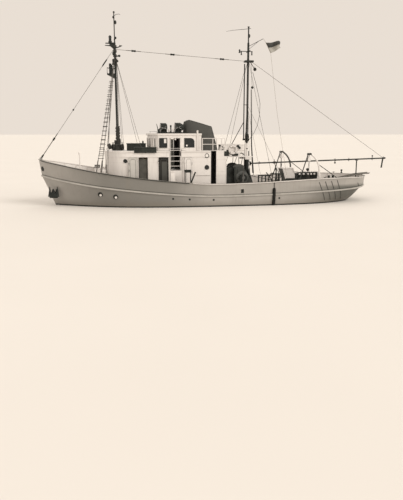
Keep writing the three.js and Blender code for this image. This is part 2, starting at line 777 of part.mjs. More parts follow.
// Foremast with its lamp platform and crosstree
const PLATFORM_Z = 7420;
const CROSSTREE_Z = 8990;
const MAST_STEP = 8900;
const foremast = join([
  rod([FOREMAST_X, 0, ROOF_TOP + GAP], [FOREMAST_X, 0, MAST_STEP], MAST_RADIUS, 14),
  rod([FOREMAST_X, 0, ROOF_TOP + GAP], [FOREMAST_X, 0, ROOF_TOP + 320], 95, 14),
  rod([FOREMAST_X, 0, MAST_STEP - 10], [FOREMAST_X, 0, MAST_STEP + 420], MAST_RADIUS, 14, TOPMAST_RADIUS),
  rod([FOREMAST_X, 0, MAST_STEP + 300], [FOREMAST_X, 0, FOREMAST_TOP], TOPMAST_RADIUS, 10),
  sidePlate([[5460, 7180], [5930, 7420], [5930, 7470], [5460, 7470]], -170, 170),
  rod([5740, 0, 7450], [5740, 0, 8020], 70, 12),
  sidePlate([[5460, 8760], [5700, 8960], [6000, 8990], [6000, 9020], [5460, 9020]], -40, 40),
  rod([5700, 0, 9000], [5700, 0, 9420], 45, 12),
  rod([FOREMAST_X, -380, 8280], [FOREMAST_X, 380, 8280], 28, 8),
]);
add("foremast", foremast, "dark");

// Mainmast on its heavy foot, with legs, hounds and gaff
const HOUNDS_Z = 8330;
const GAFF_Z = 9150;
const GOOSENECK_X = -2620;
const GOOSENECK_PIN = 18;
const gooseneckLugs = [
  [BOOM_Z - 120, BOOM_Z - 80 - GAP],
  [BOOM_Z + 86, BOOM_Z + 120],
].map((z) => box([GOOSENECK_X - 40, MAINMAST_X - 100], [-45, 45], z));
const DERRICK = { x: -2170, heel: 3750, top: 8160, radius: 34, eye: 50, pin: 13 };
const derrickCheeks = [-72, 56].map((y) => box([MAINMAST_X - 10, DERRICK.x + 45], [y, y + 16], [3700, 3800]));
const legs = [1, -1].map((side) =>
  rod([MAINMAST_X, 0, 2250], [-2780, side * 620, 500], 70, 10),
);
const mainmast = onDeck(
  join([
    rod([MAINMAST_X, 0, 500], [MAINMAST_X, 0, 2560], 150, 18),
    rod([MAINMAST_X, 0, 2550], [MAINMAST_X, 0, 2720], 170, 18),
    rod([MAINMAST_X, 0, 2700], [MAINMAST_X, 0, GAFF_Z + 200], MAST_RADIUS, 14),
    rod([MAINMAST_X, 0, GAFF_Z], [MAINMAST_X, 0, MAINMAST_TOP], TOPMAST_RADIUS + 8, 10),
    rod([MAINMAST_X, -420, 8870], [MAINMAST_X, 420, 8870], 24, 8),
    box([GOOSENECK_X - 60, MAINMAST_X + 220], [-190, 190], [HOUNDS_Z - 80, HOUNDS_Z + 20]),
    ...legs,
    ...gooseneckLugs,
    ...derrickCheeks,
    rod([DERRICK.x, -70, DERRICK.heel], [DERRICK.x, 70, DERRICK.heel], DERRICK.pin, 10),
    rod([MAINMAST_X, 0, GAFF_Z], [-3290, 0, 9610], 16, 6),
    rod([MAINMAST_X, 0, GAFF_Z - 190], [-2990, 0, 9455], 12, 6),
    rod([GOOSENECK_X, 0, BOOM_Z - 100], [GOOSENECK_X, 0, BOOM_Z + 100], GOOSENECK_PIN, 12),
  ]),
);
add("mainmast", mainmast, "dark");

// Light derrick stowed upright before the mainmast
const derrickHeel = rod([DERRICK.x, -50, DERRICK.heel], [DERRICK.x, 50, DERRICK.heel], DERRICK.eye, 14);
const derrickPole = rod([DERRICK.x, 0, DERRICK.heel], [DERRICK.x, 0, DERRICK.top], DERRICK.radius, 12);
const derrickHole = boreFor([DERRICK.x, -60, DERRICK.heel], [DERRICK.x, 60, DERRICK.heel], DERRICK.pin, 12);
add("derrick", derrickPole.add(derrickHeel).subtract(derrickHole), "dark");

// Boom with its topping lift
const BOOM_END = [-11550, 0, 2560];
const LIFT_TOP = [GOOSENECK_X, 0, HOUNDS_Z - 60];
const LIFT_FOOT = [-11450, 0, 2557];
const boom = join([
  rod([GOOSENECK_X, 0, BOOM_Z], BOOM_END, 42, 12),
  rod([GOOSENECK_X, 0, BOOM_Z - 80], [GOOSENECK_X, 0, BOOM_Z + 80], 52, 14),
  rod([-11410, 0, 2540], [-11340, 0, 1990], 45, 10),
]).subtract(boreFor([GOOSENECK_X, 0, BOOM_Z - 200], [GOOSENECK_X, 0, BOOM_Z + 200], GOOSENECK_PIN, 14));
add("boom", boom, "dark");
const lift = rod(LIFT_FOOT, LIFT_TOP, WIRE, 6);
add("topping_lift", seatedOn(seatedOn(lift, boom, [0, 0, 1]), mainmast, [0, 0, -1]), "dark");

// Trawl winch: bed, motor housing, tall end frames and low bearings between the drums
const WINCH_BED = { x: [-2205, -960], half: 1000, top: 860 };
const WINCH_MOTOR = { x: [-1440, -960], half: 700, top: 2050 };
const WINCH_SHAFT = 55;
const WINCH_PLATE = 25;
const END_FRAME = [
  [-2790, 500],
  [-1400, 500],
  [-1400, 2150],
  [-1940, 2190],
  [-2120, 1900],
  [-2550, 1220],
];
const BEARING = [
  [-2150, 800],
  [-1500, 800],
  [-1780, 1640],
  [-2000, 1640],
];
const plateAt = (outline, y) => sidePlate(outline, y - WINCH_PLATE, y + WINCH_PLATE);
const winchFrame = onDeck(
  join([
    box(WINCH_BED.x, [-WINCH_BED.half, WINCH_BED.half], [500, WINCH_BED.top]),
    box(WINCH_MOTOR.x, [-WINCH_MOTOR.half, WINCH_MOTOR.half], [800, WINCH_MOTOR.top]),
    ...[-860, 860].map((y) => plateAt(END_FRAME, y)),
    ...[-130, 130].map((y) => plateAt(BEARING, y)),
  ]),
);
const shaftHole = boreFor([WINCH_X, -1200, WINCH_Z], [WINCH_X, 1200, WINCH_Z], WINCH_SHAFT);
add("winch_frame", winchFrame.subtract(shaftHole), "dark");

// Discs and drums on the shaft: from, to, radius
const ON_SHAFT = [
  [180, 210, 400],
  [200, 800, 190],
  [790, 820, 400],
  [920, 1250, 200],
];
const onShaft = ([y0, y1, radius]) => rod([WINCH_X, y0, WINCH_Z], [WINCH_X, y1, WINCH_Z], radius, 18);
const winchDrum = join([
  rod([WINCH_X, -1250, WINCH_Z], [WINCH_X, 1250, WINCH_Z], WINCH_SHAFT, 16),
  ...ON_SHAFT.map(onShaft),
  ...ON_SHAFT.map(([y0, y1, radius]) => onShaft([-y1, -y0, radius])),
]);
add("winch_drum", winchDrum, "dark");

// Side gallows: a thin straight leg, a thicker curved one and a hanging block
const GALLOWS_HEAD = [-5530, GALLOWS_Y, 2930];
const GALLOWS_PATH = [
  GALLOWS_HEAD,
  [-5660, GALLOWS_Y, 2935],
  [-5770, GALLOWS_Y, 2880],
  [-5940, GALLOWS_Y, 2730],
  [-6090, GALLOWS_Y, 2540],
  [-6180, GALLOWS_Y, 2330],
  [-6240, GALLOWS_Y, 2100],
  [-6285, GALLOWS_Y, 1530],
  [-6310, GALLOWS_Y, 500],
];
const GALLOWS_LEG = { foot: [-4780, GALLOWS_Y, 500], radius: 32, bend: 50 };
const GALLOWS_BLOCK = { x: -5590, z: 2590, radius: 80, half: 40 };
const STARBOARD_GALLOWS_SHIFT = 280;
const gallows = join([
  bar(GALLOWS_PATH, GALLOWS_LEG.bend, 26, 10, 0.1),
  rod(GALLOWS_LEG.foot, GALLOWS_HEAD, GALLOWS_LEG.radius, 10),
  rod([-5530, GALLOWS_Y - 60, 2930], [-5530, GALLOWS_Y + 60, 2930], 62, 14),
  rod([-5670, GALLOWS_Y - 60, 2930], [-5670, GALLOWS_Y + 60, 2930], 62, 14),
  rod(
    [GALLOWS_BLOCK.x, GALLOWS_Y - GALLOWS_BLOCK.half, GALLOWS_BLOCK.z],
    [GALLOWS_BLOCK.x, GALLOWS_Y + GALLOWS_BLOCK.half, GALLOWS_BLOCK.z],
    GALLOWS_BLOCK.radius,
    16,
  ),
  rod([GALLOWS_BLOCK.x, GALLOWS_Y, GALLOWS_BLOCK.z], [GALLOWS_BLOCK.x, GALLOWS_Y, 2930], 18, 8),
]);
add("gallows_port", onDeck(gallows), "dark");
add("gallows_starboard", onDeck(mirrored(gallows).translate([STARBOARD_GALLOWS_SHIFT, 0, 0])), "dark");

// Net pounds along the sides: posts between a board and a rail. The port one steps up towards the stern
const POUND = { x: [-4140, -2600], y: 1900, posts: 8, post: 60, board: 36, boardTop: 1330, rail: 70 };

function netPound(foreTop, aftTop, stepX) {
  const pitch = (POUND.x[1] - POUND.x[0] - POUND.post) / (POUND.posts - 1);
  const across = (width) => [POUND.y - width / 2, POUND.y + width / 2];
  const posts = Array.from({ length: POUND.posts }, (_, i) => {
    const x = POUND.x[0] + pitch * i;
    return box([x, x + POUND.post], across(POUND.post), [500, x < stepX ? aftTop : foreTop]);
  });
  return join([
    ...posts,
    box(POUND.x, across(POUND.board), [950, POUND.boardTop]),
    box([POUND.x[0], stepX + POUND.post], across(POUND.board), [aftTop - POUND.rail, aftTop]),
    box([stepX, POUND.x[1]], across(POUND.board), [foreTop - POUND.rail, foreTop]),
  ]);
}

add("net_pound_port", onDeck(netPound(1720, 1810, -3400)), "dark");
add("net_pound_starboard", onDeck(mirrored(netPound(1430, 1450, -3400))), "dark");

// Fish hatch with a lid hinged along its starboard side
const HATCH = { x: [-4480, -3380], half: 500, wall: 50, top: 1080, lid: 50 };
const hatchCoaming = box(HATCH.x, [-HATCH.half, HATCH.half], [500, HATCH.top]).subtract(
  box(
    [HATCH.x[0] + HATCH.wall, HATCH.x[1] - HATCH.wall],
    [-HATCH.half + HATCH.wall, HATCH.half - HATCH.wall],
    [400, HATCH.top + 10],
  ),
);
add("fish_hatch", onDeck(hatchCoaming), "dark");
const hatchLid = box(
  [HATCH.x[0] - 40, HATCH.x[1] + 40],
  [-HATCH.half - 40, HATCH.half + 40],
  [HATCH.top + GAP, HATCH.top + GAP + HATCH.lid],
);
add("fish_hatch_lid", hatchLid, "white");

// Gallery between the casing and the mainmast
const GALLERY = { x: [-2560, -740.3], half: 750, z: 2720 + GAP, slab: 50, rail: 3450 };
const galleryScreen = join([
  box([-2150, -760], [GALLERY.half - 30, GALLERY.half - 15], [2880, 3420]),
  ...[-2150, -1455, -800].map((x) =>
    box([x, x + 36], [GALLERY.half - 40, GALLERY.half - 4], [GALLERY.z, GALLERY.rail]),
  ),
]);
const galleryDeck = box(GALLERY.x, [-GALLERY.half, GALLERY.half], [GALLERY.z, GALLERY.z + GALLERY.slab]);
const gallery = join([galleryDeck, galleryScreen, mirrored(galleryScreen)]).subtract(
  rod([MAINMAST_X, 0, 2600], [MAINMAST_X, 0, 2900], MAST_RADIUS + 6, 16),
);
add("mast_gallery", gallery, "white");

// Companion to the after cabin, its hood leaning forward
const COMPANION_HALF = 420;
const COMPANION = [
  [-4800, 500],
  [-4790, 1340],
  [-4590, 1980],
  [-5250, 2005],
  [-5560, 1350],
  [-5560, 500],
];
add("companion", onDeck(sidePlate(COMPANION, -COMPANION_HALF, COMPANION_HALF)), "white");

// Float box by the port gallows
const FLOAT_BOX = { x: [-6250, -5020], y: [1440, 1880], top: 1790 };
add("float_box", onDeck(box(FLOAT_BOX.x, FLOAT_BOX.y, [500, FLOAT_BOX.top])), "dark");

// Stern crutch under the boom
add(
  "boom_crutch",
  onDeck(
    join([
      rod([-9620, 0, deckAt(-9620) - 60], [-9620, 0, 2430], 35, 10),
      box([-9660, -9580], [-140, 140], [2420, 2454]),
    ]),
  ),
  "dark",
);

// Anchor with its flukes up against the bow
const CROWN_ENDS = [
  [8990, 800, 540],
  [9420, 650, 540],
];
const ANCHOR = { shank: 36, crown: 78, fluke: 105, tip: 16, height: 580 };
const anchor = join([
  rod(ANCHOR_PIPE.from, [8790, 187, 1380], ANCHOR.shank, 8),
  rod(CROWN_ENDS[0], CROWN_ENDS[1], ANCHOR.crown, 10),
  ...CROWN_ENDS.map((foot) => {
    const tip = [foot[0] - 20, foot[1] - 10, foot[2] + ANCHOR.height];
    return rod(foot, tip, ANCHOR.fluke, 10, ANCHOR.tip);
  }),
]);
add("anchor", seatedOn(anchor, hull, [0.4, 0.53, -0.8]), "dark");

// Windlass on the foredeck
const WINDLASS = { x: 7700, z: 1760 };
add(
  "windlass_frame",
  onDeck(
    join([
      box([7450, 7950], [-420, 420], [1200, 1520]),
      ...[-380, 380].map((y) => box([7600, 7800], [y - 25, y + 25], [1500, 1850])),
    ]),
  ).subtract(boreFor([WINDLASS.x, -600, WINDLASS.z], [WINDLASS.x, 600, WINDLASS.z], 40)),
  "dark",
);
add(
  "windlass_drum",
  join([
    rod([WINDLASS.x, -620, WINDLASS.z], [WINDLASS.x, 620, WINDLASS.z], 40, 16),
    rod([WINDLASS.x, -330, WINDLASS.z], [WINDLASS.x, 330, WINDLASS.z], 150, 20),
    rod([WINDLASS.x, -620, WINDLASS.z], [WINDLASS.x, -430, WINDLASS.z], 120, 20),
    rod([WINDLASS.x, 430, WINDLASS.z], [WINDLASS.x, 620, WINDLASS.z], 120, 20),
  ]),
  "dark",
);

// Main stays. Each ends on its mast or its rail
const forestay = rod([FOREMAST_X, 0, 8900], [9900, 30, 2635], WIRE, 6);
add("forestay", seatedOn(seatedOn(forestay, bulwarkPort, [-0.6, 0, 0.8]), foremast, [0.6, 0, -0.8]), "dark");

// Shrouds run from the rail to one eye, and a link holds the eye to the mast
function shroudSet(feet, eye, anchorage) {
  const wires = feet.map((foot) => rod(foot, eye, WIRE, 6));
  return join([...wires, rod(eye, anchorage, WIRE * 1.6, 6)]);
}

const FORE_FEET = [
  [6720, 2215, 2000],
  [6450, 2270, 1960],
  [6200, 2310, 1925],
];
const foreShrouds = shroudSet(FORE_FEET, [5500, 130, 8180], [5450, 0, 8320]);
const footedShrouds = seatedOn(foreShrouds, bulwarkPort, [0, 0, 1]);
addPair("fore_shrouds", seatedOn(footedShrouds, foremast, [0.1, 1, 0]), "dark");
const MAIN_FEET = [
  [-1500, 2650, 1320],
  [-3300, 2620, 1375],
];
const mainShrouds = shroudSet(MAIN_FEET, [MAINMAST_X, 250, 8200], [MAINMAST_X, 150, 8300]);
addPair("main_shrouds", seatedOn(seatedOn(mainShrouds, bulwarkPort, [0, 0, 1]), mainmast, [0, 1, 0]), "dark");
const triatic = rod([FOREMAST_X, 0, 8800], [MAINMAST_X + 150, 0, 8310], WIRE, 6);
add("triatic_stay", seatedOn(seatedOn(triatic, foremast, [-1, 0, 0]), mainmast, [1, 0, 0]), "dark");

export default root;
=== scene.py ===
import random
from itertools import product
from math import cos, pi, radians, sin

import bmesh
import bpy
from mathutils import Matrix, Vector
from mathutils.bvhtree import BVHTree


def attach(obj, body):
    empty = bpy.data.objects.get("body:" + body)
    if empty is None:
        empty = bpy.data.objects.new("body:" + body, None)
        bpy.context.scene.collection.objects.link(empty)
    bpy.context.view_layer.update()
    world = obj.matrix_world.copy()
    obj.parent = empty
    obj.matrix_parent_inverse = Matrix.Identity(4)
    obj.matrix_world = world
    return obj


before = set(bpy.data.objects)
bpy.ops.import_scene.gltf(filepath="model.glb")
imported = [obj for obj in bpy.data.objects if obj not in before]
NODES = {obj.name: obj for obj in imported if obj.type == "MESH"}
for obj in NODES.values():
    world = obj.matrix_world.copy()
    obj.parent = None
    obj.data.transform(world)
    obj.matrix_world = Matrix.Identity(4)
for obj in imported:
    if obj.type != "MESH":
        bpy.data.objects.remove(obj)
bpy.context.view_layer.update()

ROOT = "trawler"
SIDES = (("port", 1), ("starboard", -1))
ALONG, ACROSS, UP = (1, 0, 0), (0, 1, 0), (0, 0, 1)

# Camera: the height and the pitch follow from the horizon, the heading from the run of the hull
CAMERA_AT = (6.414, 33.901, 4.1)
CAMERA_PITCH_DOWN, CAMERA_HEADING = 11.74, 170.0
LENS_MM, SENSOR_MM = 40.32, 36.0
VIEW_REACH = 5000.0

# Sizes that repeat the construction, in metres
HOUSE_HALF, ROOF_TOP = 1.8, 3.1303
WHEELHOUSE_HALF, WHEELHOUSE_ROOF = 1.45, 4.1103
WINDOW_LOW, WINDOW_HIGH, PILLAR = 3.32, 3.84, 0.07
WHEELHOUSE_FRONT = [(3.2, -1.45), (3.56, -1.0), (3.68, -0.42), (3.68, 0.42), (3.56, 1.0), (3.2, 1.45)]
FOREMAST_X, MAINMAST_X = 5.45, -2.38
BOOM_HEEL, BOOM_TIP = Vector((-2.62, 0, 2.3)), Vector((-11.55, 0, 2.56))
GALLOWS_SHIFT = {"port": 0.0, "starboard": 0.28}


def placed(name, data):
    """A new object in the scene."""
    thing = bpy.data.objects.new(name, data)
    bpy.context.scene.collection.objects.link(thing)
    return thing


def make_camera():
    data = bpy.data.cameras.new("camera")
    data.lens, data.sensor_width, data.clip_end = LENS_MM, SENSOR_MM, VIEW_REACH
    camera = placed("camera", data)
    camera.location = CAMERA_AT
    camera.rotation_euler = (radians(90 - CAMERA_PITCH_DOWN), 0, radians(CAMERA_HEADING))
    bpy.context.scene.camera = camera


class Finish:
    """A node material built up around one Principled shader, in object coordinates."""

    def __init__(self, name, roughness=0.5, metallic=0.0, **constants):
        self.material = bpy.data.materials.new(name)
        self.material.use_nodes = True
        self.tree = self.material.node_tree
        self.shader = self.tree.nodes["Principled BSDF"]
        constants |= {"Roughness": roughness, "Metallic": metallic}
        for key, value in constants.items():
            self.shader.inputs[key.replace("_", " ")].default_value = value
        coordinates = self.tree.nodes.new("ShaderNodeTexCoord")
        self.place, self.normal = coordinates.outputs["Object"], coordinates.outputs["Normal"]
        self.height = None

    def put(self, kind, output, inputs, **settings):
        node = self.tree.nodes.new("ShaderNode" + kind)
        for key, value in settings.items():
            setattr(node, key, value)
        for key, value in inputs.items():
            if isinstance(value, bpy.types.NodeSocket):
                self.tree.links.new(value, node.inputs[key])
            else:
                node.inputs[key].default_value = value
        return node.outputs[output]

    def noise(self, scale, detail=3.0, rough=0.55, stretch=None):
        vector = self.put("Mapping", 0, {"Vector": self.place, "Scale": stretch}) if stretch else self.place
        inputs = {"Vector": vector, "Scale": scale, "Detail": detail, "Roughness": rough}
        return self.put("TexNoise", 0, inputs)

    def span(self, value, low, high, to_low=0.0, to_high=1.0):
        inputs = {"Value": value, "From Min": low, "From Max": high, "To Min": to_low, "To Max": to_high}
        return self.put("MapRange", 0, inputs)

    def math(self, operation, a, b=0.0):
        return self.put("Math", 0, {0: a, 1: b}, operation=operation)

    def times(self, a, b):
        return self.math("MULTIPLY", a, b)

    def mix(self, factor, *pair):
        a, b = (c if isinstance(c, bpy.types.NodeSocket) else (*c, 1.0) for c in pair)
        return self.put("Mix", 2, {0: factor, 6: a, 7: b}, data_type="RGBA")

    def axis(self, name, vector=None):
        return self.put("SeparateXYZ", name, {0: vector or self.place})

    def bump(self, height, strength, distance):
        inputs = {"Height": height, "Strength": strength, "Distance": distance}
        if self.height is not None:
            inputs["Normal"] = self.height
        self.height = self.put("Bump", 0, inputs)

    def waves(self):
        self.bump(self.noise(1.1, 2), 0.25, 0.015)

    def brushed(self):
        self.bump(self.noise(45, 3), 0.14, 0.002)

    def done(self, colour, roughness=None):
        for key, value in (("Base Color", colour), ("Roughness", roughness), ("Normal", self.height)):
            if value is not None:
                self.tree.links.new(value, self.shader.inputs[key])
        return self.material

    def clouded(self, noise, levels, first, second, shine=None):
        """Ends in two tones that drift into each other; shine maps the same clouds to roughness."""
        clouds = self.noise(*noise)
        tone = self.mix(self.span(clouds, *levels), first, second)
        return self.done(tone, self.span(clouds, *shine) if shine else None)


def shaded(colour, factor):
    return tuple(c * factor for c in colour)


HULL_GREY, WHITE, BLACK = (0.345, 0.328, 0.305), (0.71, 0.68, 0.655), (0.016, 0.018, 0.016)
RUST, GRIME, PRIMER = (0.17, 0.1, 0.06), (0.2, 0.18, 0.15), (0.075, 0.042, 0.033)


def weathered(f, colour, shade, streak, rust, scale=1.0):
    """The colour of old paint: broad patches, rain streaks and small rusty spots."""
    tone = f.mix(f.span(f.noise(0.9 * scale, 4), 0.38, 0.68, 0, 0.7), colour, shaded(colour, shade))
    tone = f.mix(f.span(f.noise(1.3 * scale, 6, 0.6, (6, 6, 0.5)), 0.54, 0.74, 0, streak), tone, GRIME)
    return f.mix(f.span(f.noise(7 * scale, 6, 0.7), 0.66, 0.74, 0, rust), tone, RUST)


def white_coat(f, rust=0.3, scale=3.0):
    return weathered(f, WHITE, 0.9, 0.2, rust, scale)


def black_coat(f, shade=2.0):
    return weathered(f, BLACK, shade, 0.12, 0.3, 2.0)


# Dark grain between two tones: varnish and painted shade in the rooms' lining, painted shade alone on the
# dark doors.
def dark_grain_and_shade(f, *tones):
    return f.mix(f.span(f.noise(3.0, 8, 0.65, (9, 9, 0.5)), 0.3, 0.72), *tones)


def weave(f, scale, distortion):
    f.bump(f.put("TexWave", "Fac", {"Vector": f.place, "Scale": scale, "Distortion": distortion}), 0.2, 0.001)


def plate_seams(f, width, height, depth):
    """Welded plate edges as a fine raised line, from lengths along the wall and up it."""
    flat = f.put("CombineXYZ", 0, {0: f.math("ADD", f.axis("X"), f.axis("Y")), 1: f.axis("Z")})
    seams = f.put("TexBrick", 1, {"Vector": flat, "Scale": 1.0, "Mortar Size": 0.007, "Mortar Smooth": 0.6,
                                  "Brick Width": width, "Row Height": height})
    f.bump(seams, 0.5, depth)
    return seams


# Inner walls as planes (x, breadth, distance), and how deep the near-black lining, dark varnish and painted
# shade, reaches into them
HOUSE_PLANES = ((0, 1, 1.8), (0.238, 0.971, 2.926), (0.648, 0.762, 4.824), (0.898, 0.44, 5.865),
                (0.992, 0.129, 6.187), (1, 0, 6.2), (-1, 0, -0.2))
WHEELHOUSE_PLANES = ((0, 1, 1.45), (0.781, 0.625, 3.405), (0.979, 0.203, 3.688), (1, 0, 3.68), (-1, 0, -1.62))
LINING_DEPTH, LINING_BLEND = 0.035, 0.003


def within(f, planes):
    """One inside a room, nought outside."""
    x, y = f.axis("X"), f.math("ABSOLUTE", f.axis("Y"))
    least = None
    for along, across, distance in planes:
        room = f.math("SUBTRACT", distance, f.math("ADD", f.times(x, along), f.times(y, across)))
        least = room if least is None else f.math("MINIMUM", least, room)
    return f.span(least, LINING_DEPTH - LINING_BLEND, LINING_DEPTH + LINING_BLEND)


def wall_finish(name, planes):
    """White outside, with a near-black lining inside: dark varnish, and painted shade of the unlit rooms and
    of the landing recess.
    """
    f = Finish(name, 0.42)
    seams = plate_seams(f, 1.9, 1.25, 0.003)
    f.waves()
    f.brushed()
    tone = f.mix(f.times(seams, 0.2), white_coat(f, 0.18, 1.0), GRIME)
    # Inside the planes the wall turns near-black: dark varnish, and painted shade of the unlit rooms and the
    # landing recess.
    return f.done(f.mix(within(f, planes), tone, dark_grain_and_shade(f, (0.022, 0.016, 0.011), (0.055, 0.038, 0.024))))


def casing_finish():
    """White, with painted shade: the sides of the passage and of its neck in black."""
    f = Finish("casing_paint", 0.42)
    plate_seams(f, 1.9, 1.25, 0.003)
    f.waves()
    # Painted shade: faces forward of the casing's after part, other than tops, go black where the passage
    # lies in shade.
    passage = f.times(f.span(f.axis("X"), -0.135, -0.131), f.span(f.axis("Z", f.normal), 0.8, 0.85, 1, 0))
    return f.done(f.mix(passage, white_coat(f, 0.18, 1.0), black_coat(f, 2.2)))


def gallows_finish():
    """One paint with painted light and shade: the bend and the after leg white where they catch the light,
    the rest black where it lies in shade.
    """
    f = Finish("gallows_paint", 0.42)
    f.brushed()
    # Painted light and shade: white aft of the split as the lit side, black forward as the shaded side.
    return f.done(f.mix(f.span(f.axis("X"), -5.72, -5.74), black_coat(f, 2.2), white_coat(f)))


def plated_side(f, row_height, streak):
    """Hull grey on seamed plates, with painted shade along the bow and under the counter."""
    seams = plate_seams(f, 2.3, row_height, 0.004)
    f.bump(f.noise(0.75, 2), 0.35, 0.03)
    f.bump(f.noise(38, 3), 0.12, 0.003)
    x = f.axis("X")
    # Painted shade: darker along the bow, which is turned away from the key light.
    bow = f.times(f.span(x, 0.2, 2.8, 0.0, 0.85), f.span(x, 6.3, 8.8, 1.0, 0.0))
    side = f.mix(bow, weathered(f, HULL_GREY, 0.84, streak, 0.22), (0.165, 0.16, 0.145))
    # Painted shade under the counter, whose underside leans away from the light.
    counter = f.times(f.span(x, -4.6, -7.6, 0.0, 0.95), f.span(f.axis("Z"), 1.16, 0.98, 0.0, 1.0))
    side = f.mix(counter, side, (0.1, 0.1, 0.088))
    return f.mix(f.times(seams, 0.25), side, GRIME)


def stained_band(f, tone, strength):
    """A grimy band down the side below the foremast."""
    off = f.math("ABSOLUTE", f.math("SUBTRACT", f.axis("X"), 5.02))
    return f.mix(f.span(off, 0.05, 0.16, strength, 0), tone, GRIME)


def hull_finish():
    f = Finish("hull_paint", 0.46)
    z = f.axis("Z")
    # Darker towards the waterline, fading out by about 0.4 m up, with a ragged edge.
    ragged_height = f.math("ADD", z, f.span(f.noise(2.2, 5), 0, 1, -0.12, 0.12))
    side = f.mix(f.span(ragged_height, 0.1, 0.42, 0.55, 0.0), plated_side(f, 0.9, 0.22), GRIME)
    below = weathered(f, PRIMER, 0.6, 0.3, 0.3, 1.6)
    below = f.mix(f.span(z, -0.105, -0.095), below, weathered(f, BLACK, 2.0, 0.1, 0.1, 2.0))
    side = stained_band(f, f.mix(f.span(z, 0.075, 0.085), below, side), 0.22)
    deck = f.times(f.span(f.axis("Z", f.normal), 0.8, 0.85), f.span(z, 0.5, 0.55))
    colour = f.mix(deck, side, weathered(f, (0.16, 0.16, 0.145), 0.7, 0.1, 0.5, 2))
    return f.done(colour, f.span(f.noise(3, 4), 0.3, 0.7, 0.38, 0.6))


def bulwark_finish():
    """Hull grey outside, white inside and a dark cap."""
    f = Finish("bulwark_paint", 0.46)
    outside = stained_band(f, plated_side(f, 5.0, 0.25), 0.3)
    inside = weathered(f, shaded(WHITE, 1.06), 0.9, 0.15, 0.25)
    wide = f.put("Mapping", 0, {"Vector": f.place, "Scale": (0.03, 1, 0)})
    facing = f.put("VectorMath", "Value", {0: f.normal, 1: wide}, operation="DOT_PRODUCT")
    colour = f.mix(f.span(facing, -0.02, 0.02), inside, outside)
    cap = weathered(f, (0.15, 0.135, 0.115), 0.7, 0.1, 0.1, 3)
    colour = f.mix(f.span(f.axis("Z", f.normal), 0.75, 0.85), colour, cap)
    return f.done(colour, f.span(f.noise(3, 4), 0.3, 0.7, 0.38, 0.6))


def paint_finish(name, colour, roughness, shade, streak, rust, scale=1.0, seams=None, gloss=0.5):
    f = Finish(name, roughness, Specular_IOR_Level=gloss)
    lines = plate_seams(f, *seams) if seams else None
    f.waves()
    f.brushed()
    tone = weathered(f, colour, shade, streak, rust, scale)
    if seams:
        tone = f.mix(f.times(lines, 0.2), tone, GRIME)
    return f.done(tone, f.span(f.noise(5, 4), 0.3, 0.7, roughness - 0.08, roughness + 0.14))


def wood_finish(name, colour, pitch=0.0, roughness=0.62):
    """Long grain along the boat; with a pitch, each plank has a tone of its own."""
    f = Finish(name, roughness)
    grain = f.noise(3.0, 8, 0.65, (0.6, 14, 14))
    tone = f.mix(f.span(grain, 0.3, 0.72), shaded(colour, 0.62), shaded(colour, 1.2))
    if pitch:
        row = f.math("FLOOR", f.math("DIVIDE", f.axis("Y"), pitch))
        run = f.math("FLOOR", f.math("ADD", f.math("DIVIDE", f.axis("X"), 3.1), f.times(row, 0.37)))
        cell = f.put("CombineXYZ", 0, {0: row, 1: run})
        chance = f.put("TexWhiteNoise", 0, {"Vector": cell}, noise_dimensions="3D")
        tone = f.mix(f.span(chance, 0, 1, 0, 0.45), tone, shaded(colour, 0.55))
    f.bump(grain, 0.35, 0.004)
    return f.done(f.mix(f.span(f.noise(1.1, 4), 0.5, 0.75, 0, 0.5), tone, (0.3, 0.28, 0.25)))


def wire_finish(name, colour, roughness=0.6, twist=90.0, rust=0.4):
    """Laid strands as slanting ridges."""
    f = Finish(name, roughness)
    along = f.math("ADD", f.axis("Z"), f.times(f.axis("X"), 0.8))
    ridge = f.math("SINE", f.times(f.math("ADD", along, f.times(f.axis("Y"), 0.7)), twist))
    f.bump(ridge, 0.5, 0.003)
    tone = f.mix(f.span(ridge, -1, 1, 0, 0.5), colour, shaded(colour, 0.5))
    return f.done(f.mix(f.span(f.noise(12, 4), 0.5, 0.7, 0, rust), tone, RUST))


def leaf_finish():
    """Near-black grain as painted shade of the dark doorways, with a slightly lighter panel in the middle of
    the mid doors.
    """
    f = Finish("door_painted_shade", 0.5, Specular_IOR_Level=0.2)
    off = f.math("ABSOLUTE", f.math("SUBTRACT", f.axis("X"), 2.9))
    panel = f.times(f.span(off, 0.14, 0.17, 1, 0), f.span(f.axis("Z"), 2.5, 2.58, 1, 0))
    tone = dark_grain_and_shade(f, (0.01, 0.01, 0.009), (0.022, 0.02, 0.017))
    return f.done(f.mix(f.times(panel, 0.8), tone, (0.085, 0.085, 0.078)))


def mast_finish():
    """Tarred, with a white band where the gallery stands round the mast."""
    f = Finish("mainmast_paint", 0.5, Specular_IOR_Level=0.2)
    f.brushed()
    z = f.axis("Z")
    band = f.times(f.span(z, 2.545, 2.555), f.span(z, 3.525, 3.535, 1, 0))
    return f.done(f.mix(band, black_coat(f), white_coat(f)))


def winch_finish():
    """Black motor housing, dark grey frames and drum covers."""
    f = Finish("winch_paint", 0.5, Specular_IOR_Level=0.3)
    f.brushed()
    grey = weathered(f, (0.05, 0.053, 0.049), 0.7, 0.25, 0.25, 3.0)
    return f.done(f.mix(f.span(f.axis("X"), -1.46, -1.5), black_coat(f), grey))


def companion_finish():
    """White hood on a black base, with a black fore face."""
    f = Finish("companion_paint", 0.42)
    f.waves()
    f.brushed()
    hood = f.times(f.span(f.axis("Z"), 1.385, 1.395), f.span(f.axis("X", f.normal), 0.3, 0.4, 1.0, 0.0))
    return f.done(f.mix(hood, black_coat(f), white_coat(f, 0.3, 1.5)))


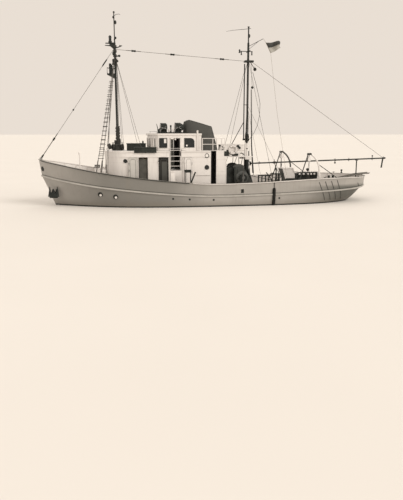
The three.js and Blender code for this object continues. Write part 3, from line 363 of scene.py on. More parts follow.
def metal_finish(name, colour, roughness=0.35, metallic=1.0):
    f = Finish(name, roughness, metallic)
    scratches = f.noise(22, 6, 0.7, (1, 1, 5))
    f.bump(scratches, 0.15, 0.002)
    tone = f.mix(f.span(f.noise(6, 5), 0.42, 0.7), colour, shaded(colour, 0.5))
    return f.done(tone, f.span(scratches, 0.3, 0.7, roughness - 0.08, roughness + 0.2))


def dark_glass_finish():
    f = Finish("port_glass", 0.06, Specular_IOR_Level=0.35)
    return f.clouded((14, 5), (0.45, 0.8), (0.012, 0.015, 0.016), (0.03, 0.032, 0.03), (0.4, 0.9, 0.04, 0.25))


def pale_glass_finish():
    """Front panes with the bright sky painted into their pale colour: a painted reflection."""
    # Painted reflection: the pale base colour stands for the sky mirrored in the glass, wherever this finish
    # is used.
    f = Finish("painted_sky_glass", 0.07, Coat_Weight=0.8)
    return f.clouded((1.6, 4, 0.6, (1, 1, 2.5)), (0.35, 0.7), (0.8, 0.77, 0.74), (0.72, 0.69, 0.66))


def lamp_glass_finish():
    """Ribbed lamp glass in a mid grey."""
    f = Finish("lamp_glass", 0.12, Coat_Weight=0.6)
    rib = f.math("SINE", f.times(f.axis("Y"), 180.0))
    f.bump(rib, 0.3, 0.003)
    return f.done(f.mix(f.span(rib, -1, 1), (0.2, 0.195, 0.185), (0.36, 0.35, 0.335)))


def rubber_finish():
    f = Finish("fender_rubber", 0.78, Specular_IOR_Level=0.2)
    f.bump(f.noise(60, 4), 0.3, 0.003)
    return f.clouded((5, 5), (0.4, 0.7), (0.008, 0.009, 0.008), (0.022, 0.02, 0.018))


def net_finish():
    """Heaped twine: a tight crossing weave, with painted shade in the gaps between the twine."""
    f = Finish("net_twine", 0.85)
    cells = f.put("TexVoronoi", 0, {"Vector": f.place, "Scale": 28.0}, feature="DISTANCE_TO_EDGE")
    knots = f.span(cells, 0.02, 0.12)
    f.bump(knots, 0.8, 0.02)
    # Dark in the cells between the twine: painted shade inside the heap.
    return f.done(f.mix(knots, (0.16, 0.135, 0.1), (0.035, 0.03, 0.024)))


def flag_finish():
    """Plain bunting: a dark field over a light one."""
    f = Finish("bunting", 0.85)
    weave(f, 130.0, 1.0)
    band = f.put("Attribute", "Fac", {}, attribute_name="band")
    edge = f.math("ADD", band, f.span(f.noise(20, 2), 0, 1, -0.004, 0.004))
    tone = f.mix(f.span(edge, 0.49, 0.51), (0.36, 0.35, 0.32), (0.035, 0.037, 0.036))
    return f.done(f.mix(f.span(f.noise(4, 4), 0.4, 0.8, 0, 0.25), tone, GRIME))


def curtain_finish():
    """Coarse grey cloth."""
    f = Finish("curtain_cloth", 0.9)
    weave(f, 90.0, 2.0)
    return f.clouded((4, 5), (0.35, 0.7), (0.115, 0.112, 0.1), (0.075, 0.073, 0.066))


FINISH = {
    "hull": hull_finish(),
    "bulwark": bulwark_finish(),
    "white": paint_finish("white_paint", WHITE, 0.42, 0.9, 0.2, 0.18, 1.0, (1.9, 1.25, 0.003)),
    "house": wall_finish("house_paint", HOUSE_PLANES),
    "wheelhouse": wall_finish("wheelhouse_paint", WHEELHOUSE_PLANES),
    "casing": casing_finish(),
    "gallows": gallows_finish(),
    "mast": mast_finish(),
    "companion": companion_finish(),
    "winch": winch_finish(),
    "strake": paint_finish("strake_paint", (0.415, 0.4, 0.37), 0.5, 0.75, 0.3, 0.3, 2.0),
    "trim": paint_finish("fitting_white", shaded(WHITE, 0.97), 0.4, 0.85, 0.2, 0.3, 3.0),
    "black": paint_finish("black_paint", BLACK, 0.5, 2.0, 0.12, 0.3, 2.0, gloss=0.2),
    "funnel": paint_finish("funnel_grey", (0.07, 0.071, 0.066), 0.5, 0.75, 0.25, 0.2, 1.0,
                           (1.1, 0.62, 0.003), 0.3),
    "leaf": paint_finish("door_grey", (0.52, 0.505, 0.475), 0.45, 0.8, 0.35, 0.3, 2.5),
    "dark_leaf": leaf_finish(),
    "steel": metal_finish("galvanised", (0.42, 0.42, 0.41), 0.5, 0.7),
    "worn_steel": metal_finish("worn_steel", (0.12, 0.125, 0.118), 0.5, 0.5),
    "bronze": metal_finish("bronze", (0.4, 0.27, 0.12)),
    "deck": wood_finish("deck_planks", (0.34, 0.28, 0.205), 0.13),
    "varnish": wood_finish("varnished_wood", (0.2, 0.13, 0.075), 0.0, 0.4),
    "bare_wood": wood_finish("bare_wood", (0.36, 0.31, 0.24)),
    "spar": wood_finish("tarred_spar", (0.13, 0.12, 0.105)),
    "wire": wire_finish("wire_rope", (0.075, 0.072, 0.065)),
    "rope": wire_finish("hemp_rope", (0.2, 0.175, 0.135), 0.85, 160.0),
    "dark_rope": wire_finish("tarred_rope", (0.04, 0.04, 0.036), 0.85, 160.0, 0.06),
    "dark_glass": dark_glass_finish(),
    "painted_sky_glass": pale_glass_finish(),
    "lamp_glass": lamp_glass_finish(),
    "rubber": rubber_finish(),
    "net": net_finish(),
    "flag": flag_finish(),
    "curtain": curtain_finish(),
}

# The slot of a piece in these finishes, where the piece doesn't name one
SLOTS = {"black": "black_paint", "trim": "white_paint", "wire": "wire"}


def up(height):
    return Vector((0, 0, height))


def turns(count):
    """Even angles round a full turn."""
    return [2 * pi * k / count for k in range(count)]


def shares(steps):
    """Even steps from nought to one."""
    return [i / steps for i in range(steps + 1)]


def edges(corners):
    """The sides of a closed outline, as pairs of corners."""
    return zip(corners, corners[1:] + corners[:1])


def circle(centre, axis, radius, count):
    """Points round an axis."""
    axis = Vector(axis).normalized()
    first = axis.orthogonal().normalized()
    second = axis.cross(first)
    return [Vector(centre) + (first * cos(a) + second * sin(a)) * radius for a in turns(count)]


def spoke(angle, radius):
    """A step out from an athwart axis."""
    return Vector((cos(angle), 0, sin(angle))) * radius


def level(degrees, radius=1.0):
    """A step out from an upright axis."""
    return Vector((cos(radians(degrees)), sin(radians(degrees)), 0)) * radius


class Shape:
    """A piece in the making: tubes, slabs and turned forms in one mesh, measured from its own place."""

    waiting = []

    def __init__(self, name, finish, body=ROOT, slot="usual", at=(0, 0, 0), angle=38):
        self.name, self.finish, self.body, self.angle = name, finish, body, angle
        self.slot = SLOTS.get(finish) if slot == "usual" else slot
        self.at = Vector(at)
        self.bm = bmesh.new()
        Shape.waiting.append(self)

    def vert(self, p):
        return self.bm.verts.new(self.at + Vector(p))

    def skin(self, rings, closed=False):
        rows = [[self.vert(p) for p in ring] for ring in rings]
        for low, high in edges(rows) if closed else zip(rows, rows[1:]):
            for (a, b), (c, d) in zip(edges(low), edges(high)):
                self.bm.faces.new((a, b, d, c))
        if not closed:
            self.bm.faces.new(rows[0][::-1])
            self.bm.faces.new(rows[-1])

    def tube(self, points, radius, sides=8, closed=False):
        points = [Vector(p) for p in points]
        radii = radius if isinstance(radius, list) else [radius] * len(points)
        normal, rings = None, []
        for i, (p, thick) in enumerate(zip(points, radii)):
            before = points[i - 1] if closed or i else p
            after = points[(i + 1) % len(points)] if closed or i < len(points) - 1 else p
            along = (after - before).normalized()
            if normal is None:
                normal = along.orthogonal().normalized()
            normal = (normal - along * normal.dot(along)).normalized()
            side = along.cross(normal)
            rings.append([p + (normal * cos(a) + side * sin(a)) * thick for a in turns(sides)])
        self.skin(rings, closed)

    def twin(self, points, radius, sides=8):
        """A tube on the port side and its mirror image."""
        for _, sign in SIDES:
            self.tube([(x, sign * y, z) for x, y, z in points], radius, sides)

    def turned(self, profile, centre, axis=UP, sides=20):
        """A turned form: pairs of distance along the axis and radius."""
        step = Vector(axis).normalized()
        self.skin([circle(Vector(centre) + step * along, step, radius, sides) for along, radius in profile])

    def collar(self, centre, half, radius, axis=UP, sides=16):
        self.turned([(-half, radius), (half, radius)], centre, axis, sides)

    def ball(self, centre, radius, squash=1.0, sides=16, rows=8):
        angles = [radians(-84 + 168 * i / rows) for i in range(rows + 1)]
        self.turned([(radius * squash * sin(a), radius * cos(a)) for a in angles], centre, UP, sides)

    def ring(self, centre, axis, radius, thick, sides=24, small=6):
        self.tube(circle(centre, axis, radius, sides), thick, small, closed=True)

    def solid(self, points):
        bmesh.ops.convex_hull(self.bm, input=[self.vert(p) for p in points])

    def prism(self, outline, breadths):
        """An upright outline of lengths and heights, between two breadths."""
        self.solid([(x, y, z) for y in breadths for x, z in outline])

    def slab(self, low, high, edge=0.006):
        """A box with chamfered edges between two corners."""
        low, high = Vector(low), Vector(high)
        middle, half = (low + high) / 2, [abs(h - l) / 2 for l, h in zip(low, high)]
        edge = min(edge, min(half) * 0.45)
        self.solid([middle + Vector([s * (half[k] - edge * (k != full)) for k, s in enumerate(signs)])
                    for signs in product((-1, 1), repeat=3) for full in range(3)])

    def post(self, x, y, low, high, across, edge=0.004):
        """An upright slab about a plan point, from half its length and breadth."""
        half = Vector((*across, 0))
        self.slab(Vector((x, y, low)) - half, Vector((x, y, high)) + half, edge)

    def bar(self, a, b, width, depth, top=UP):
        """A flat bar between two points."""
        a, b = Vector(a), Vector(b)
        along = (b - a).normalized()
        side = along.cross(Vector(top)).normalized()
        rise = side.cross(along)
        signs = ((-1, -1), (1, -1), (1, 1), (-1, 1))
        corners = [side * s * width / 2 + rise * t * depth / 2 for s, t in signs]
        self.skin([[p + corner for corner in corners] for p in (a, b)])

    def made(self):
        Shape.waiting.remove(self)
        bmesh.ops.recalc_face_normals(self.bm, faces=self.bm.faces)
        mesh = bpy.data.meshes.new(self.name)
        self.bm.to_mesh(mesh)
        self.bm.free()
        mesh.materials.append(FINISH[self.finish])
        mesh.polygons.foreach_set("use_smooth", [True] * len(mesh.polygons))
        mesh.set_sharp_from_angle(angle=radians(self.angle))
        piece = placed(self.name, mesh)
        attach(piece, self.body)


def cloth(name, finish, columns, rows, place, thickness):
    """A sheet whose points come from their shares along and down."""
    mesh = bpy.data.meshes.new(name)
    starts = [a for a in range(columns * (rows + 1)) if a % (rows + 1) < rows]
    faces = [(a, a + 1, a + rows + 2, a + rows + 1) for a in starts]
    mesh.from_pydata([place(u, v) for u in shares(columns) for v in shares(rows)], [], faces)
    mesh.polygons.foreach_set("use_smooth", [True] * len(faces))
    mesh.materials.append(FINISH[finish])
    sheet = placed(name, mesh)
    sheet.modifiers.new("thickness", "SOLIDIFY").thickness = thickness
    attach(sheet, ROOT)
    return sheet


def tree_of(*names):
    """The solids of some nodes as one body that rays can hit."""
    points, faces = [], []
    for name in names:
        mesh = NODES[name].data
        faces += [[len(points) + i for i in p.vertices] for p in mesh.polygons]
        points += [v.co.copy() for v in mesh.vertices]
    return BVHTree.FromPolygons(points, faces)


BULWARKS = [f"bulwark_{part}_{side}" for part in ("fore", "aft") for side, _ in SIDES]
HULL, RAILS, SHELL = tree_of("hull"), tree_of(*BULWARKS), tree_of("hull", *BULWARKS)
RAY_START = 6.0


def from_side(tree, x, z, sign):
    """The point and the outward normal where the side lies at a length and a height."""
    hit, normal, _, _ = tree.ray_cast(Vector((x, sign * RAY_START, z)), Vector((0, -sign, 0)))
    if normal is not None and normal.y * sign < 0:
        normal = -normal
    return hit, normal


def on_side(tree, places, sign, out):
    """Points just off the side at pairs of length and height, where a ray meets it."""
    hits = [from_side(tree, x, z, sign) for x, z in places]
    return [hit + normal * out for hit, normal in hits if hit is not None]


def side_line(a, b, sign, steps, out):
    """Points that follow the plating between two places on the side."""
    places = [Vector(a).lerp(Vector(b), t) for t in shares(steps)]
    return on_side(SHELL, places, sign, out)


def deck_at(x, y=0.0):
    return HULL.ray_cast(Vector((x, y, RAY_START)), Vector((0, 0, -1)))[0].z


def rail_at(x, sign=1):
    """The middle of the rail cap at a length."""
    for k in range(60):
        y = sign * (2.75 - k * 0.05)
        hit = RAILS.ray_cast(Vector((x, y, RAY_START)), Vector((0, 0, -1)))[0]
        if hit is not None:
            return Vector((x, y - sign * 0.03, hit.z))
    return Vector((x, 0, deck_at(x) + 0.6))


def from_inside(x, z, sign):
    """Breadth of the bulwark's inner face at a length and a height."""
    hit = RAILS.ray_cast(Vector((x, 0.01 * sign, z)), Vector((0, sign, 0)))[0]
    return None if hit is None else hit.y


# Finishes by the start of a node's name: the longest start counts, and all others are black
NODE_FINISHES = {
    "hull": "hull rudder",
    "bulwark": "bulwark",
    "strake": "rubbing_strake",
    "house": "deckhouse",
    "wheelhouse": "wheelhouse",
    "casing": "engine_casing",
    # The starboard gallows takes the dark funnel grey as painted shade, seen against the light.
    "funnel": "funnel gallows_starboard",
    "gallows": "gallows_port",
    "mast": "mainmast",
    "companion": "companion",
    "winch": "winch_frame",
    "white": "deckhouse_ wheelhouse_roof landing_rail house_top_rail mast_gallery fish_hatch_lid aft_door "
             "net_pound_starboard",
    "leaf": "fore_door",
    # The mid and wheelhouse doors are near-black as painted shade of their dark doorways.
    "dark_leaf": "mid_door wheelhouse_door",
    "wire": "forestay topping_lift triatic_stay fore_shrouds main_shrouds",
    "bronze": "propeller",
    "varnish": "helm",
}


def dress_nodes():
    """The finish of each construction node, with its round faces smoothed."""
    starts = {start: key for key, names in NODE_FINISHES.items() for start in names.split()}
    for name, node in NODES.items():
        start = max((s for s in starts if name.startswith(s)), key=len, default=None)
        mesh = node.data
        mesh.materials.clear()
        mesh.materials.append(FINISH[starts.get(start, "black")])
        for extra in ("custom_normal", "sharp_face", "sharp_edge"):
            if extra in mesh.attributes:
                mesh.attributes.remove(mesh.attributes[extra])
        mesh.polygons.foreach_set("use_smooth", [True] * len(mesh.polygons))
        node.modifiers.new("weld", "WELD").merge_threshold = 0.0002
        node.modifiers.new("split", "EDGE_SPLIT").split_angle = radians(33)


def deck_planks():
    """Laid deck: narrow strips with dark seams between them, trimmed at the waterway."""
    pitch, seam, thick, margin, step = 0.13, 0.012, 0.007, 0.16, 0.25
    shape = Shape("deck_planking", "deck")
    stations = [-9.6 + step * i for i in range(77)]
    heights = [deck_at(x) for x in stations]
    breadths = [abs(from_side(HULL, x, z - 0.03, 1)[0].y) - margin for x, z in zip(stations, heights)]
    for row in range(-20, 21):
        y0, y1 = row * pitch + seam / 2, (row + 1) * pitch - seam / 2
        run = []
        for x, z, breadth in [*zip(stations, heights, breadths), (0, 0, -1)]:
            if breadth > max(abs(y0), abs(y1)):
                run.append([(x, y0, z), (x, y1, z), (x, y1, z + thick), (x, y0, z + thick)])
                continue
            if len(run) > 1:
                shape.skin(run)
            run = []


def bulwark_brackets(name, sign):
    shape = Shape(f"bulwark_brackets_{name}", "trim")
    half, pitch = 0.007, 0.66
    for x in (-9.2 + pitch * k for k in range(28)):
        base, top = deck_at(x) + 0.002, rail_at(x, sign).z - 0.05
        low, high = from_inside(x, base + 0.058, sign), from_inside(x, top - 0.03, sign)
        if None not in (low, high):
            outline = ((low - sign * 0.003, base), (high - sign * 0.003, top),
                       (high - sign * 0.06, top), (low - sign * 0.24, base))
            shape.solid([(x + side, y, z) for side in (-half, half) for y, z in outline])


def round_port(shape, glass, centre, normal, radius):
    """A round window: a rolled rim with three dogs, and its pane."""
    centre, normal = Vector(centre), Vector(normal).normalized()
    shape.ring(centre + normal * 0.012, normal, radius, 0.022, 28, 8)
    shape.turned([(-0.02, radius * 1.25), (0.01, radius * 1.22)], centre, normal, 28)
    glass.turned([(0.004, radius * 0.95), (0.013, radius * 0.93), (0.018, radius * 0.6)], centre, normal, 24)
    for angle in (90, 210, 330):
        out = Matrix.Rotation(radians(angle), 3, normal) @ normal.orthogonal().normalized()
        shape.turned([(-0.005, 0.018), (0.04, 0.014)], centre + out * radius * 1.16, normal, 8)


def hull_fittings(name, sign):
    """Ports, scuppers, fairleads, the seam at the deck and the beads under the rail. Painted light and shade:
    black discs in the holes, a pale glint in each port, a shadow along the seam, and a shadow and a highlight
    in the beads.
    """
    rims, panes = Shape(f"hull_port_rims_{name}", "black"), Shape(f"hull_port_panes_{name}", "painted_sky_glass")
    holes = Shape(f"hull_openings_{name}", "black")
    for x, z in ((6.55, 0.75), (5.71, 0.63)):
        centre, normal = from_side(HULL, x, z, sign)
        round_port(rims, holes, centre, normal, 0.115)
        # A small pale disc set low in each port: painted reflection of the sky.
        panes.turned([(0.01, 0.075), (0.024, 0.07)], centre + Vector((-0.02, 0, -0.035)), normal, 18)
    # Black discs in the scuppers, the hawse pipe and the aft fairlead: painted shade inside the holes.
    for x, z in ((2.52, 0.5), (1.58, 0.45), (0.2, 0.4), (-3.71, 0.42)):
        holes.turned([(-0.01, 0.062), (0.006, 0.058), (0.006, 0.04), (0.002, 0.038)],
                     *from_side(HULL, x, z, sign), 14)
    centre, normal = from_side(SHELL, 9.77, 2.11, sign)
    holes.turned([(-0.02, 0.13), (0.018, 0.12), (0.02, 0.09), (0.011, 0.085)], centre, normal)
    rims.ring(centre + normal * 0.012, normal, 0.12, 0.02, 24, 8)
    holes.turned([(-0.01, 0.07), (0.008, 0.06)], *from_side(SHELL, -9.8, 1.12, sign), 16)
    # The black line at the deck is partly the seam and partly painted shadow over the rubbing strake.
    seam = [(x, deck_at(x) + 0.015) for x in (9.82 - 0.245 * i for i in range(79))]
    Shape(f"strake_seam_and_shadow_{name}", "black").tube(on_side(SHELL, seam, sign, 0.002), 0.009, 5)
    # Painted light: the black bead forward is the shadow under the rail cap, the white bead aft its
    # highlight.
    beads = (("fore", "black", 9.86, 1.6, 41), ("aft", "trim", 1.4, -9.4, 54))
    for label, finish, first, last, steps in beads:
        lengths = [first + (last - first) * t for t in shares(steps)]
        line = on_side(RAILS, [(x, rail_at(x, sign).z - 0.035) for x in lengths], sign, 0.004)
        Shape(f"rail_bead_{label}_{name}", finish, slot=None).tube(line, 0.02, 6)


def chafing_gear(name, sign):
    """Bars and a fender that keep the trawl gear off the plating."""
    bars = Shape(f"chafing_bars_{name}", "funnel", slot="hull_paint")
    for i in range(4):
        x = -6.17 - 0.393 * i
        bars.tube(side_line((x, 1.3 + 0.03 * i), (x - 0.49, 0.22), sign, 8, 0.01), 0.017, 6)
    bars.tube(side_line((-8.9, 1.18), (-9.0, 0.98), sign, 3, 0.01), 0.017, 6)
    fender = Shape(f"side_fender_{name}", "rubber", slot="black_paint")
    points = side_line((-3.37, 1.02), (-3.37, 0.03), sign, 8, 0.02)
    fender.tube(points, [0.07] + [0.095] * (len(points) - 2) + [0.08], 12)
    fender.tube(side_line((-3.37, 1.36), (-3.37, 1.02), sign, 3, 0.01), 0.018, 6)


def freeing_port(name, sign):
    """The rim of the freeing port, and its flap with two hinge straps."""
    rim = Shape(f"freeing_port_rim_{name}", "strake", slot="hull_paint")
    for a, b in edges([(-1.585, 0.74), (-1.375, 0.74), (-1.375, 1.0), (-1.585, 1.0)]):
        rim.tube(side_line(a, b, sign, 2, 0.006), 0.014, 6)
    flap = Shape(f"freeing_port_flap_{name}", "black")
    inner = [from_side(SHELL, x, 0.87, sign)[0].y - sign * 0.022 for x in (-1.6, -1.36)]
    flap.solid([(x, y - sign * deep, z) for x, y in zip((-1.562, -1.398), inner) for z in (0.764, 0.974)
                for deep in (0, 0.012)])
    flap.tube([(-1.563, inner[0], 0.968), (-1.397, inner[1], 0.968)], 0.009)
    for x in (-1.53, -1.43):
        y = inner[0] + sign * 0.004
        flap.bar((x, y, 0.79), (x, y, 0.96), 0.03, 0.006, ACROSS)


def rail_gear(name, sign):
    """Cleats along the rail and bitts on the deck."""
    shape = Shape(f"cleats_and_bitts_{name}", "black")
    bitt = [(0, 0.075), (0.42, 0.07), (0.44, 0.09), (0.48, 0.085)]
    for x in (-4.9, -6.54, -8.9):
        top = rail_at(x, sign)
        shape.turned([(0, 0.025), (0.035, 0.016), (0.05, 0.02)], top, sides=10)
        horns = ((-0.09, 0.058), (-0.03, 0.05), (0.03, 0.05), (0.09, 0.058))
        shape.tube([top + Vector((dx, 0, dz)) for dx, dz in horns], [0.008, 0.015, 0.015, 0.008])
    for x, y in ((8.35, 0.55), (-8.5, 1.35), (-0.55, 2.2)):
        z = deck_at(x)
        for shift in (-0.14, 0.14):
            shape.turned(bitt, (x + shift, sign * y, z), sides=16)
        shape.post(x, sign * y, z, z + 0.03, (0.26, 0.1), 0.006)


def house_ports(name, sign):
    rims, panes = Shape(f"house_port_rims_{name}", "black"), Shape(f"house_port_panes_{name}", "dark_glass")
    blind = Shape(f"house_deadlight_{name}", "painted_sky_glass")
    # The upper port gets a pale pane: painted reflection of the sky.
    for x, z, glass, face, turned, radius in ((5.09, 2.58, panes, 1.766, 0.22, 0.085),
                                              (0.44, 2.19, panes, 1.796, 0, 0.112),
                                              (0.44, 2.86, blind, 1.796, 0, 0.112)):
        round_port(rims, glass, (x, sign * face, z), (turned, sign, 0), radius)


SHROUDS = (
    # fore and main: the eye, then the feet, on the port side
    ((5.5, 0.13, 8.18), (6.72, 2.215, 2.0), (6.45, 2.27, 1.96), (6.2, 2.31, 1.925)),
    ((MAINMAST_X, 0.25, 8.2), (-1.5, 2.65, 1.32), (-3.3, 2.62, 1.375)),
)
LEAVES = (
    # leaf, fore and aft edges, foot, head, outer face, finish of its rails, side of the handle
    ("fore_door", 4.44, 4.95, 1.14, 2.77, 1.912, "leaf", 1),
    ("mid_door", 2.67, 3.22, 1.09, 2.77, 1.848, "dark_leaf", -1),
    ("aft_door", 1.27, 1.74, 1.01, 2.77, 1.848, "trim", -1),
)


def doorways(name, sign):
    """The frame round the open doorway, and a brow over each doorway."""
    trim = Shape(f"doorway_frames_{name}", "trim")
    y = sign * (HOUSE_HALF + 0.01)
    for x in (3.828, 4.384):
        trim.post(x, y, 1.12, 2.815, (0.014, 0.012))
    trim.slab((3.815, y - 0.012, 2.78), (4.395, y + 0.012, 2.815), 0.004)
    for x0, x1 in ((3.8, 4.42), (2.62, 3.28), (1.22, 1.8)):
        middle, half = (x0 + x1) / 2, (x1 - x0) / 2
        trim.tube([(middle + half * s, sign * (HOUSE_HALF + 0.03), 2.808 - 0.02 * s * s)
                   for s in (k / 4 - 1 for k in range(9))], 0.016, 6)


def door_detail(name, sign):
    """The stiles, the bead round the panel, and the dogs of each leaf."""
    edge, gap = 0.045, 0.01
    for leaf, x0, x1, z0, z1, face, finish, handle_side in LEAVES:
        rails = Shape(f"{leaf}_panels_{name}", finish, f"{leaf}_{name}", None)
        beads = Shape(f"{leaf}_beads_{name}", "steel" if leaf == "aft_door" else "funnel", f"{leaf}_{name}")
        inner, outer, sunk = sign * (face - 0.004), sign * (face + 0.012), sign * face
        for xa, za, xb, zb in ((x0 + gap, z0 + gap, x0 + edge, z1 - gap),
                               (x1 - edge, z0 + gap, x1 - gap, z1 - gap),
                               (x0 + edge, z0 + gap, x1 - edge, z0 + edge),
                               (x0 + edge, z1 - edge, x1 - edge, z1 - gap)):
            rails.slab((xa, inner, za), (xb, outer, zb), 0.004)
        middle, half = (x0 + x1) / 2, (x1 - x0) / 2 - 0.1
        arch = [(middle + half * cos(a), sunk, z1 - 0.16 + 0.07 * sin(a)) for a in turns(16)[:9]]
        foot = [(middle + half * s, sunk, z0 + 0.14) for s in (-1, 1)]
        beads.tube([foot[1], *arch, foot[0]], 0.009, 6, closed=True)
        x = middle + handle_side * (half + 0.06)
        for z in (z0 + 0.3, z0 + 0.95, z1 - 0.3):
            grip = ((0, z), (0.025, z), (0.03, z - 0.12))
            beads.tube([(x, outer + sign * away, height) for away, height in grip], 0.009)
            beads.turned([(0, 0.022), (0.014, 0.018)], (x, outer, z), (0, sign, 0), 12)


CURTAINS = (
    # place, fore and aft edges, foot and head, breadth, folds, depth of a fold, flat width
    ("doorway", (3.865, 4.345), (1.22, 2.7), 1.7, 7, 0.016, 0.72),
    ("wheelhouse", (2.325, 2.475), (2.1, 3.78), 1.415, 6, 0.014, 0.36),
)


def hang_curtains(name, sign):
    """Cloth on a rod in a doorway, in even folds that open a little towards the foot."""
    for label, (x0, x1), (foot, head), breadth, folds, depth, flat in CURTAINS:
        y, top = sign * breadth, head + 0.012
        rod = Shape(f"{label}_curtain_rod_{name}", "bronze")
        rod.tube([(x0 - 0.05, y, head), (x1 + 0.02, y, head)], 0.008, 10)
        for x in (x0 - 0.04, x1 + 0.01):
            rod.tube([(x, y, head), (x, y, head + 0.07)], 0.007)
        rod.made()

        def place(u, v):
            swing = depth * (0.75 + 0.25 * v) * sin(2 * pi * folds * u + 0.5 * v)
            return x0 + (x1 - x0) * u, y + swing, top + (foot - head) * v

        curtain = cloth(f"{label}_curtain_{name}", "curtain", folds * 12, 12, place, 0.002)


def window_set(a, b, out, frames, glass, bars=None):
    """A framed pane between two plan points; out points away from the room, bars takes a glazing bar."""
    a, b, out = Vector((*a, 0)), Vector((*b, 0)), Vector((*out, 0)).normalized()
    low, high = up(WINDOW_LOW), up(WINDOW_HIGH)
    for start, end in edges([a + low, b + low, b + high, a + high]):
        frames.bar(start + out * 0.008, end + out * 0.008, 0.028, 0.034, out)
    inset, rise = (b - a).normalized() * 0.002, up(0.002)
    pane = [a + inset + low + rise, b - inset + low + rise, b - inset + high - rise, a + inset + high - rise]
    glass.skin([[p - out * back for p in pane] for back in (0.03, 0.038)])
    if bars:
        middle = (a + b) / 2 - out * 0.012
        bars.bar(middle + low + up(0.01), middle + high - up(0.01), 0.035, 0.02, out)


def wheelhouse_windows():
    front_frames = Shape("wheelhouse_front_frames", "trim")
    frames = Shape("wheelhouse_window_frames", "black")
    front = Shape("wheelhouse_pale_panes", "painted_sky_glass")
    side_glass = Shape("wheelhouse_side_panes", "dark_glass")
    for a, b in zip(WHEELHOUSE_FRONT, WHEELHOUSE_FRONT[1:]):
        start, end = Vector(a), Vector(b)
        along = (end - start).normalized()
        out = (along.y, -along.x)
        window_set(start + along * PILLAR, end - along * PILLAR, out, front_frames, front, frames)
    for _, sign in SIDES:
        y = sign * WHEELHOUSE_HALF
        window_set((2.7, y), (3.13, y), (0, sign), frames, side_glass)
        front.slab((2.72, y - sign * 0.018, 3.57), (2.86, y - sign * 0.026, 3.82), 0.002)
        sliding = [(1.105, 3.315), (1.7, 3.315), (1.7, 3.85), (1.3, 3.85), (1.18, 3.8), (1.105, 3.68)]
        side_glass.skin([[(x, y + sign * depth, z) for x, z in sliding] for depth in (0.004, 0.012)])
        front.turned([(0, 0.05), (0.006, 0.045)], (1.55, y + sign * 0.0125, 3.43), (0, sign, 0), 16)


def wheelhouse_trim():
    """The roof's edge, the base moulding, door frames, vent pipes and the lamps over the doors."""
    shape, lamps = Shape("wheelhouse_trim", "trim"), Shape("door_lamps", "painted_sky_glass")
    roof = [(0.68, 1.48), (3.23, 1.48), (3.62, 1.02), (3.74, 0.43)]
    base = [(1.62, 1.45), (3.2, 1.45), (3.56, 1.0), (3.68, 0.42)]
    for z in (WHEELHOUSE_ROOF - 0.012, WHEELHOUSE_ROOF - 0.088):
        shape.tube([(x, y, z) for x, y in roof] + [(x, -y, z) for x, y in roof[::-1]], 0.014, 6)
    outline = [(x + (0.008 if x > 2 else 0), y * 1.006) for x, y in base]
    shape.tube([(x, y, 3.16) for x, y in outline] + [(x, -y, 3.16) for x, y in outline[::-1]], 0.02, 6)
    for _, sign in SIDES:
        y = sign * (WHEELHOUSE_HALF + 0.012)
        for x in (1.92, 2.525):
            shape.post(x, y, 2.05, 3.87, (0.015, 0.014))
        shape.slab((1.905, y - 0.014, 3.845), (2.54, y + 0.014, 3.885), 0.004)
        shape.tube([(0.93, sign * 1.475, 3.14), (0.93, sign * 1.475, 4.22)], 0.05, 12)
        shape.ball((0.93, sign * 1.475, 4.24), 0.062, 0.7)
        shape.tube([(1.62, y, 3.27), (3.18, y, 3.27)], 0.011, 6)
        shape.tube([(2.05, y + sign * a, z) for a, z in ((0.03, 3.95), (0.11, 3.97), (0.12, 3.92))], 0.012)
        lamps.ball((2.22, sign * 1.5, 3.78), 0.05)


def grab_rails():
    """Grab rails beside the wheelhouse doors, and the short rail on its roof."""
    grips = Shape("door_grab_rails", "steel")
    for _, sign in SIDES:
        wall = sign * WHEELHOUSE_HALF
        y = wall + sign * 0.05
        for x in (1.86, 2.58):
            grips.tube([(x, wall, 2.6), (x, y, 2.62), (x, y, 3.18), (x, wall, 3.2)], 0.012)
    rail = WHEELHOUSE_ROOF + 0.11
    grips.tube([(3.18, 0.6, rail), (3.62, 0.6, rail)], 0.012)
    for x in (3.22, 3.58):
        grips.tube([(x, 0.6, WHEELHOUSE_ROOF), (x, 0.6, rail)], 0.01, 6)


SEARCHLIGHTS = (
    # lamp, its place, and the turned profile of its back
    ("fore", (2.75, 0.38, 4.45), [(-0.2, 0.1), (-0.18, 0.2), (-0.128, 0.245)]),
    ("aft", (1.9, 0.38, 4.47), [(-0.34, 0.09), (-0.24, 0.19), (-0.128, 0.245)]),
)


